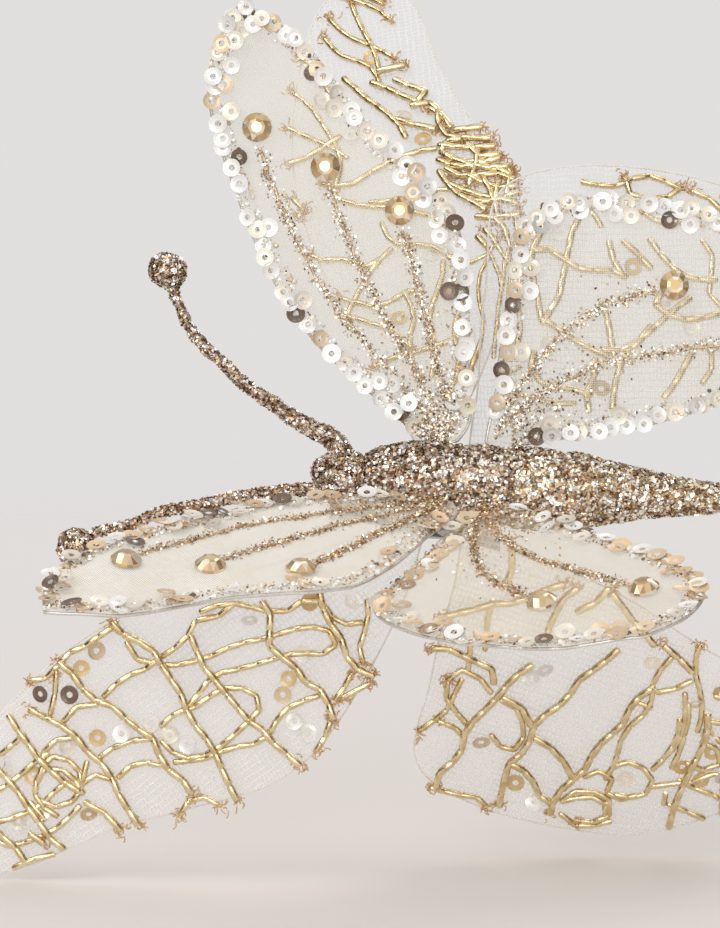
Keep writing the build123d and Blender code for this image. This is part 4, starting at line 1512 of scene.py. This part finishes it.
@dataclass
class Studio:
    """The pale sweep that the ornament stands on, its light and its camera."""

    lens: float = 149.1
    camera_place: tuple[float, float, float] = (0.002397, -0.61835, 0.09341)
    camera_pitch: float = 82.0
    pale: Colour = (0.75, 0.74, 0.733)
    sweep: Colour = (0.82, 0.77, 0.735)
    ambient: float = 0.6
    sweep_drop: float = 0.6 * MM
    sweep_radius: float = 0.6
    sweep_fade: tuple[float, float] = (0.14, 0.5)
    room: Colour = (0.085, 0.058, 0.042)
    window: Colour = (1.35, 1.31, 1.26)
    window_towards: tuple[float, float, float] = (0.1, -0.96, 0.27)
    lamps_at: tuple = (("front", (-0.12, -0.98, 0.4), 0.5, 3.0),
                       ("key", (-0.7, -0.4, 0.85), 0.7, 2.4),
                       ("rear", (0.45, 0.6, 0.8), 0.7, 1.6))

    def camera(self) -> None:
        """Set the camera at the photograph's viewing angle."""
        bpy.ops.object.camera_add(location=self.camera_place,
                                  rotation=(math.radians(self.camera_pitch), 0.0, 0.0))
        camera = bpy.context.active_object
        camera.data.lens = self.lens
        camera.data.clip_start = 0.01
        bpy.context.scene.camera = camera

    def floor(self) -> None:
        """Lay a pale sweep under the lowest wing that fades into the backdrop."""
        material, board, shader = Finish("pale_sweep", 0.7).start()
        place = board.add("ShaderNodeTexCoord").outputs["Object"]
        cloud = board.add("ShaderNodeTexNoise", {"Vector": place, "Scale": 3.0})
        tone = board.ramp(cloud.outputs["Fac"], 0.3, 0.7, 0.98, 1.02)
        colour = board.add("ShaderNodeVectorMath", {0: self.sweep, "Scale": tone},
                           operation="SCALE").outputs[0]
        away = board.add("ShaderNodeVectorMath", {0: place}, operation="LENGTH").outputs["Value"]
        alpha = board.ramp(away, *self.sweep_fade, 1.0, 0.0)
        board.feed(shader, {"Base Color": colour, "Alpha": alpha})
        bpy.ops.mesh.primitive_circle_add(vertices=64, radius=self.sweep_radius, fill_type="NGON",
                                          location=(0.0, 0.0, CAD_BOX[0].z - self.sweep_drop))
        sweep = bpy.context.active_object
        sweep.name = "pale_sweep"
        sweep.data.materials.append(material)

    def world(self) -> None:
        """Surround the scene with soft light, a pale backdrop and a dim room with a lit window."""
        world = bpy.data.worlds.new("soft_room")
        bpy.context.scene.world = world
        world.use_nodes = True
        board = Board(world.node_tree)
        rays = board.add("ShaderNodeLightPath").outputs
        heading = board.add("ShaderNodeTexCoord").outputs["Generated"]
        sides = board.add("ShaderNodeSeparateXYZ", {0: heading}).outputs
        ahead = board.add("ShaderNodeVectorMath", {0: heading, 1: self.window_towards},
                          operation="DOT_PRODUCT").outputs["Value"]
        lit = board.sum("MAXIMUM", board.ramp(ahead, 0.6, 0.88),
                        board.sum("MAXIMUM", board.ramp(sides["Y"], 0.2, 0.85, 0.0, 0.35),
                                  board.ramp(sides["Z"], 0.5, 0.9, 0.0, 0.6)))
        room = board.blend(lit, (*self.room, 1.0), (*self.window, 1.0))
        ambient = (self.ambient, self.ambient, self.ambient * 1.01, 1.0)
        seen = board.sum("MAXIMUM", rays["Is Camera Ray"], rays["Is Transmission Ray"])
        tone = board.blend(rays["Is Glossy Ray"], ambient, room)
        tone = board.blend(seen, tone, (*self.pale, 1.0))
        board.feed(world.node_tree.nodes["Background"], {"Color": tone})

    def lamps(self) -> None:
        """Hang broad lamps in front, up to the left and behind."""
        for name, place, size, radiance in self.lamps_at:
            bpy.ops.object.light_add(type="AREA", location=place)
            lamp = bpy.context.active_object
            lamp.name = name
            lamp.data.energy = radiance * math.pi * size ** 2
            lamp.data.size = size
            lamp.rotation_euler = (-Vector(place)).to_track_quat("-Z", "Y").to_euler()

    def build(self) -> None:
        """Set up the whole studio."""
        self.floor()
        self.world()
        self.lamps()
        self.camera()


def shares(*thousandths: int) -> Shares:
    """Pair up thousandths of a wing's length and width, along and across in turn."""
    return tuple((along / 1000, across / 1000)
                 for along, across in zip(thousandths[::2], thousandths[1::2]))


def traced(*lines: tuple[int, ...]) -> tuple[Shares, ...]:
    """Pair up thousandths line by line."""
    return tuple(shares(*line) for line in lines)


# Outlines, veins, stones, cords and loose sequins, along and across in thousandths of the wing.
FOREWING = {
    "length": 79.5, "width": 31.0,
    "lead": shares(8, 50, 40, 110, 100, 180, 300, 400, 500, 475, 710, 445, 900, 320, 1000, 30),
    "trail": shares(1000, 30, 900, -155, 700, -285, 530, -455, 430, -515, 320, -460, 200, -335, 80,
                    -200, 30, -140, 8, -50),
}
FOREWING_VEINS = traced(
    (30, 30, 85, 50, 210, 135, 400, 250, 570, 277, 715, 250), (30, -10, 85, -12, 230, 20, 430, 35,
    585, 10), (30, -40, 80, -75, 180, -125, 310, -190, 440, -245))
FOREWING_STONES = shares(755, 218, 623, -18, 480, -275)
HINDWING = {
    "length": 51.5, "width": 41.0,
    "lead": shares(4, 30, 14, 100, 32, 200, 54, 430, 84, 668, 128, 910, 297, 1000, 505, 1000, 760,
                   930, 990, 720),
    "trail": shares(990, 720, 1035, 450, 950, 285, 718, 180, 515, 105, 280, 55, 120, 20, 40, -10),
}
HINDWING_VEINS = traced(
    (30, 60, 70, 160, 140, 305, 233, 440, 360, 566, 545, 642), (30, 40, 85, 130, 170, 212, 295, 305,
    470, 372, 790, 432))
HINDWING_STONES = shares(600, 660, 845, 445)
MESH_FOREWING = {
    "length": 99.0, "width": 37.5,
    "lead": shares(8, 20, 46, 60, 180, 173, 300, 293, 420, 400, 560, 467, 690, 453, 810, 387, 930,
                   240, 1000, 20),
    "trail": shares(1000, 20, 900, -160, 785, -237, 647, -352, 533, -475, 430, -533, 320, -477, 206,
                    -350, 90, -180, 40, -80, 8, -20),
}
MESH_HINDWING = {**HINDWING, "length": 61.8, "width": 49.2}
NEAR_FORE_STROKES = traced(
    (714, 366, 687, 231, 679, 160, 679, 57, 672, -46, 682, -183, 687, -322), (626, 456, 620, 334,
    622, 274, 598, 157, 592, 23, 579, -40, 590, -160, 581, -299, 583, -355), (518, 457, 507, 344,
    489, 270, 495, 185, 497, 41, 509, -72, 509, -214, 516, -304, 531, -506), (425, 206, 439, 80,
    437, -71, 436, -219, 425, -317, 422, -394, 413, -527), (296, 148, 313, 24, 328, 0, 320, -167,
    322, -245, 310, -312, 322, -453), (213, 30, 230, -100, 231, -206, 243, -275, 222, -419), (735,
    -98, 719, -189, 715, -296), (839, -61, 831, -142))
NEAR_FORE_LOOPS = traced(
    (779, 87, 737, 147, 711, 63, 724, -41, 769, -65, 792, 13), (605, 213, 577, 230, 521, 208, 488,
    203, 440, 203, 406, 244), (406, 244, 383, 210, 357, 198, 335, 204), (495, 172, 441, 95, 379, 57,
    325, -5, 252, -94, 239, -153, 242, -195, 259, -211, 294, -148, 331, -97, 388, -46, 438, 3, 463,
    -4, 493, -37, 536, -20, 560, -33), (522, -30, 484, -56, 448, -54, 414, -99, 400, -165, 403,
    -213, 426, -240, 475, -253, 510, -261, 549, -224, 570, -155, 571, -87), (675, 15, 650, 16, 607,
    -17, 585, -49), (686, 234, 667, 257, 646, 244, 615, 206), (668, -106, 640, -95, 613, -122, 596,
    -181), (722, -34, 704, -27, 676, -97), (580, -190, 532, -257, 473, -306, 428, -350, 399, -313,
    364, -299, 318, -340), (685, 151, 716, 189, 745, 168, 754, 115), (731, -78, 726, -5, 731, 65,
    758, 117, 783, 100, 795, 18, 785, -93), (808, 44, 810, -19, 806, -64), (686, 464, 638, 436, 615,
    466, 581, 439, 547, 443, 520, 434), (639, 426, 663, 364, 694, 287), (392, 265, 347, 221, 308,
    113, 268, 39, 243, 39, 223, -5), (627, -401, 609, -375, 574, -389, 559, -473, 528, -517), (220,
    -22, 221, -100, 207, -165, 186, -191), (160, -116, 186, -213, 213, -257, 229, -341), (290, -406,
    265, -411, 224, -426), (304, -390, 282, -378, 252, -338), (376, -521, 349, -492, 327, -448),
    (691, 31, 713, -3, 728, -40), (518, 355, 522, 298, 520, 243, 499, 192))
NEAR_FORE_SPOTS = shares(701, 138, 653, 89, 541, -168, 375, -359, 298, -146, 334, 109, 567, 395,
    684, 390, 647, 311, 341, -197, 365, -238, 604, 374, 567, 2, 617, 41, 537, -328, 370, -435, 237,
    17, 179, -90, 555, -87)
NEAR_HIND_STROKES = traced(
    (34, 477, 116, 449, 144, 469, 201, 468, 235, 526), (507, 265, 489, 325, 445, 413, 432, 500, 396,
    577, 376, 634, 386, 716, 359, 786, 364, 870, 378, 964), (636, 365, 607, 427, 595, 538, 562, 634,
    554, 737, 519, 840, 519, 944), (309, 413, 275, 488, 255, 565, 231, 645, 210, 708, 218, 765, 213,
    854, 190, 914, 198, 960), (268, 560, 324, 576, 376, 634), (393, 672, 437, 685, 535, 779), (360,
    789, 426, 818, 474, 880, 513, 896), (617, 205, 669, 234, 718, 264), (98, -79, 135, 33, 153, 84,
    161, 128, 159, 168), (10, 376, 34, 342, 98, 294, 164, 233, 212, 204, 242, 163, 268, 132, 303,
    97), (194, 7, 242, 25, 294, 30, 338, 46), (342, 95, 319, 141, 312, 191, 310, 260, 320, 327),
    (360, 182, 396, 135, 416, 98, 417, 38, 390, -21), (432, 79, 494, 131, 541, 174, 597, 214), (529,
    64, 568, 79, 629, 91))
NEAR_HIND_LOOPS = traced(
    (621, 757, 637, 680, 696, 666, 747, 718, 723, 787, 663, 801), (723, 351, 761, 489, 753, 591,
    731, 667), (534, 887, 558, 835, 626, 813, 673, 851, 653, 918, 590, 938), (141, 231, 157, 339,
    181, 429), (-2, 211, 9, 305, 9, 392), (324, -70, 363, -36, 421, -11, 482, -14), (133, 410, 146,
    464, 158, 515), (116, 574, 132, 531, 164, 516, 205, 539, 241, 564), (153, 546, 146, 597, 147,
    678, 130, 726, 96, 786), (116, 574, 125, 623, 177, 673, 213, 710), (268, 580, 317, 591, 361,
    661, 366, 725, 345, 759, 314, 743, 280, 714), (135, 724, 170, 729, 227, 766), (654, 241, 635,
    354, 655, 442, 622, 539, 619, 622, 630, 712), (564, 770, 593, 732, 640, 745, 637, 792, 679, 815,
    719, 776), (534, 887, 605, 839, 651, 844, 665, 900), (186, 978, 257, 975, 305, 963, 354, 991),
    (741, 734, 787, 697, 846, 663), (745, 382, 771, 493, 780, 638), (741, 445, 754, 558, 733, 663),
    (650, 383, 690, 354, 730, 300), (616, 439, 637, 458, 657, 441), (790, 733, 801, 786), (707, 157,
    726, 269, 780, 367, 802, 480), (846, 663, 888, 615, 950, 600), (810, 435, 879, 495, 934, 504),
    (547, 931, 627, 955, 687, 895))
NEAR_HIND_SPOTS = shares(267, 756, 323, 471, 350, 427, 397, 864, 467, 916, 672, 727, 610, 284, 762,
    375, 863, 535)
FAR_FORE_STROKES = traced(
    (756, 22, 764, -32, 759, -102), (739, 64, 704, -58, 684, -165, 694, -191, 707, -153, 735, -48),
    (759, 186, 694, 62, 653, -30, 613, -71), (655, -35, 628, -154, 617, -207), (675, -106, 670,
    -222, 628, -224, 592, -283, 588, -324), (588, -324, 587, -249, 576, -214, 555, -249, 537, -359,
    535, -469, 549, -515, 573, -471, 588, -397, 588, -324), (577, -339, 550, -368, 539, -429, 554,
    -525), (558, -194, 539, -268, 517, -445, 494, -553, 490, -625), (537, -225, 512, -310, 511,
    -411, 482, -549), (460, -336, 454, -449, 459, -524, 470, -596), (432, -342, 421, -439, 418,
    -538), (504, -395, 474, -418, 451, -430), (494, -461, 455, -436, 421, -439), (506, -511, 517,
    -560, 526, -641), (420, -425, 385, -473, 343, -442), (414, -519, 379, -513, 340, -473), (584,
    -211, 568, -345, 560, -481, 529, -609), (567, -229, 525, -379, 515, -536, 502, -638), (608,
    -288, 607, -403, 584, -511, 550, -593), (514, -329, 479, -456, 478, -598), (663, -187, 641,
    -251, 615, -276), (537, -566, 499, -614, 459, -588), (558, -504, 512, -526, 460, -487), (568,
    -392, 526, -370, 494, -324), (502, -234, 469, -385, 440, -536), (536, -197, 489, -253, 441,
    -390), (343, -442, 273, -398, 200, -354, 128, -310, 47, -272), (353, -482, 270, -434, 188, -386,
    116, -346, 54, -300), (407, -371, 368, -423, 329, -465), (395, -331, 347, -394, 291, -413))
FAR_FORE_LOOPS = traced(
    (691, 496, 657, 368, 626, 272, 602, 208), (775, 495, 743, 398, 657, 283, 595, 242, 548, 282),
    (648, 229, 631, 336, 617, 429, 611, 534), (518, 439, 546, 488, 527, 549, 497, 500, 518, 439),
    (585, -202, 578, -10, 561, 130, 547, 222, 561, 344), (498, -325, 500, -127, 498, 12, 505, 135),
    (465, 471, 414, 390, 403, 259, 380, 177, 390, 106), (538, 308, 506, 195, 489, 65, 457, -115,
    419, -233), (334, 318, 311, 214, 304, 129, 317, 25, 319, -67), (303, 326, 275, 191, 244, 81,
    211, 22), (407, 51, 378, 146, 329, 241, 304, 285, 261, 282), (461, 87, 413, 35, 402, -99, 370,
    -191, 328, -279), (187, 219, 203, 92, 205, -44, 215, -182, 222, -234), (823, 384, 784, 298, 728,
    251, 692, 133), (853, 257, 802, 161, 772, 55, 723, 21), (366, -172, 315, -134, 262, -74, 204,
    -84, 149, -51), (286, -240, 234, -179, 176, -185, 115, -131), (317, 25, 268, -7, 211, 31, 154,
    2), (891, 224, 846, 140, 809, 17, 778, -60), (915, 113, 868, 87, 811, 35, 758, 21), (958, 255,
    926, 143, 898, 22, 860, -63), (353, -364, 300, -303, 223, -307, 162, -243, 100, -198), (387,
    -428, 353, -327, 362, -216), (1015, 192, 975, 107, 929, 61, 898, -40))
FAR_FORE_SPOTS = shares(664, -66, 607, -143, 508, -511, 565, -423, 487, -587, 523, -268, 283, -397,
    230, -408, 181, -361, 137, -384, 93, -326, 40, -287, 82, -371, 521, 494, 646, 182, 379, -107,
    309, -201, 273, 60, 792, 50)
FAR_HIND_STROKES = traced(
    (200, 694, 254, 694, 298, 645, 360, 624, 415, 624, 460, 600), (241, 811, 221, 740, 199, 680,
    204, 564, 214, 452), (335, 811, 306, 730, 286, 624, 265, 540, 214, 435), (413, 730, 418, 670,
    447, 600), (449, 731, 482, 695, 525, 625), (524, 741, 573, 646, 634, 600, 703, 593), (207, 459,
    293, 390, 390, 320), (382, 519, 398, 424, 406, 320, 422, 264), (630, 530, 542, 449, 484, 389,
    433, 319, 398, 215, 388, 139), (352, 320, 339, 240, 317, 181, 325, 129), (190, 344, 178, 275,
    211, 227, 264, 216, 336, 188), (514, 435, 463, 365, 372, 348), (549, 554, 526, 505, 563, 470,
    625, 452, 704, 473), (618, 336, 577, 249, 527, 180))
FAR_HIND_LOOPS = traced(
    (350, 943, 405, 929, 460, 930, 517, 966, 572, 956, 631, 917), (470, 962, 478, 908, 532, 884,
    588, 895, 632, 931), (152, 296, 116, 275, 102, 210), (92, 182, 147, 199, 213, 164, 294, 167),
    (290, 847, 332, 865, 372, 840, 396, 776), (510, 841, 550, 806, 596, 795, 675, 821), (671, 742,
    699, 664, 682, 565, 716, 494), (649, 389, 678, 319, 645, 232), (131, 529, 160, 459, 142, 355),
    (158, 669, 167, 582, 141, 494), (653, 917, 694, 892, 738, 842))
FAR_HIND_SPOTS = shares(477, 642, 553, 529, 232, 372, 365, 216, 285, 758, 624, 424)


def organza_wings() -> list[OrganzaWing]:
    """Return the four sheer wings, each where it leaves the thorax."""
    fore = {**FOREWING, "veins": FOREWING_VEINS, "stones": FOREWING_STONES}
    hind = {**HINDWING, "veins": HINDWING_VEINS, "stones": HINDWING_STONES}
    return [
        OrganzaWing("right_forewing", side=1, station=-0.5, around=30.0, seed=101,
                    heading=-17.5, climb=64.0, twist=107.5, **fore),
        OrganzaWing("left_forewing", side=-1, station=-0.5, around=155.0, seed=202,
                    heading=40.5, climb=-6.5, twist=-15.5,
                    mixture=WARM_SEQUINS, glitter=WARM_VEINS, cloth_finish=DENSE_LIT_ORGANZA,
                    lead_sequins=0.85, trail_sequins=0.4, second_row=0.35, clear_root=4.0, **fore),
        OrganzaWing("right_hindwing", side=1, station=5.0, around=30.0, seed=303,
                    heading=-174.0, climb=-1.5, twist=-101.5,
                    cloth_finish=PAINTED_BRIGHT_ORGANZA, bare_root=4.2, **hind),
        OrganzaWing("left_hindwing", side=-1, station=5.0, around=155.0, seed=404,
                    heading=141.5, climb=-3.0, twist=18.0,
                    mixture=WARM_SEQUINS, glitter=WARM_VEINS, cloth_finish=WARM_ORGANZA,
                    lead_sequins=0.9, trail_sequins=0.85, neighbour=(0.0, 0.17, 0.28, 0.82),
                    **hind),
    ]


def mesh_wings() -> list[MeshWing]:
    """Return the four corded wings, each where it leaves the thorax."""
    return [
        MeshWing("right_mesh_forewing", side=1, station=-3.5, around=-20.0, seed=505,
                 heading=-80.5, climb=54.5, twist=159.0,
                 strokes=FAR_FORE_STROKES, loops=FAR_FORE_LOOPS, spots=FAR_FORE_SPOTS,
                 traced_to=0.93, fringe=7.0, neighbour=(0.12, 0.36, -1.0, -0.3), **MESH_FOREWING),
        MeshWing("left_mesh_forewing", side=-1, station=-3.5, around=200.0, seed=606,
                 heading=-2.0, climb=-37.0, twist=-88.5,
                 strokes=NEAR_FORE_STROKES, loops=NEAR_FORE_LOOPS, spots=NEAR_FORE_SPOTS,
                 traced_to=0.73, **MESH_FOREWING),
        MeshWing("right_mesh_hindwing", side=1, station=2.5, around=5.0, seed=707,
                 heading=-170.0, climb=-1.0, twist=-113.0,
                 strokes=FAR_HIND_STROKES, loops=FAR_HIND_LOOPS, spots=FAR_HIND_SPOTS,
                 traced_to=0.72, **MESH_HINDWING),
        MeshWing("left_mesh_hindwing", side=-1, station=2.5, around=200.0, seed=808,
                 heading=-173.0, climb=-18.5, twist=109.0,
                 strokes=NEAR_HIND_STROKES, loops=NEAR_HIND_LOOPS, spots=NEAR_HIND_SPOTS,
                 traced_to=0.8, **MESH_HINDWING),
    ]


def body_parts() -> list[TurnedPart]:
    """Return head, thorax and abdomen."""
    return [
        TurnedPart("head", ((-22.6, 0.0), (-21.9, 1.9), (-20.4, 3.3), (-18.5, 3.95), (-16.4, 3.6),
                            (-14.4, 2.7), (-14.3, 0.0)),
                   SILVER_COAT, SILVER_GLITTER, "silver_glitter", flakes=3600, rise=0.8, seed=11),
        TurnedPart("thorax", ((-14.6, 0.0), (-14.4, 3.2), (-9.0, 6.0), (-2.0, 6.5), (5.0, 6.3),
                              (9.0, 6.0), (9.2, 0.0)),
                   SILVER_COAT, SILVER_GLITTER, "silver_glitter", flakes=9500, seed=12,
                   behind=GOLD_GLITTER),
        TurnedPart("abdomen", ((8.9, 0.0), (9.1, 5.6), (14.2, 6.4), (24.9, 5.1), (37.9, 2.8),
                               (45.6, 1.0), (46.7, 0.0)),
                   GOLD_COAT, GOLD_GLITTER, "gold_glitter", flakes=10500, seed=13),
    ]


def antennae() -> list[Antenna]:
    """Return the two antennae."""
    return [
        Antenna("right_antenna",
                ((-17.2, 1.3, 4.2), (-19.2, 2.2, 6.9), (-22.8, 2.9, 8.7), (-27.0, 3.7, 11.2),
                 (-30.9, 4.5, 13.9), (-34.3, 5.3, 16.3), (-37.5, 6.0, 19.3), (-41.0, 6.9, 22.6),
                 (-43.7, 7.8, 26.9), (-44.9, 8.3, 29.8), (-46.0, 9.0, 33.6)),
                root_radius=1.7, seed=21),
        Antenna("left_antenna",
                ((-20.2, -2.8, -0.6), (-22.9, -3.8, -0.3), (-27.2, -5.3, -0.5), (-32.2, -7.2, -0.7),
                 (-37.1, -9.1, -1.3), (-41.2, -10.6, -2.0), (-45.7, -12.3, -2.5),
                 (-49.6, -13.9, -3.7), (-53.6, -15.5, -4.9), (-56.5, -16.6, -5.4),
                 (-59.4, -18.0, -7.4)),
                root_radius=1.1, seed=31, mixture=COPPER_GLITTER),
    ]


def main() -> None:
    """Build every sub-assembly in order."""
    logging.basicConfig(level=logging.INFO, format="%(message)s")
    for part in (*body_parts(), *antennae(), *organza_wings(), *mesh_wings(), SpringClip()):
        part.build()
    Studio().build()
    bpy.context.scene.view_settings.view_transform = "Standard"


if __name__ == "__main__":
    main()
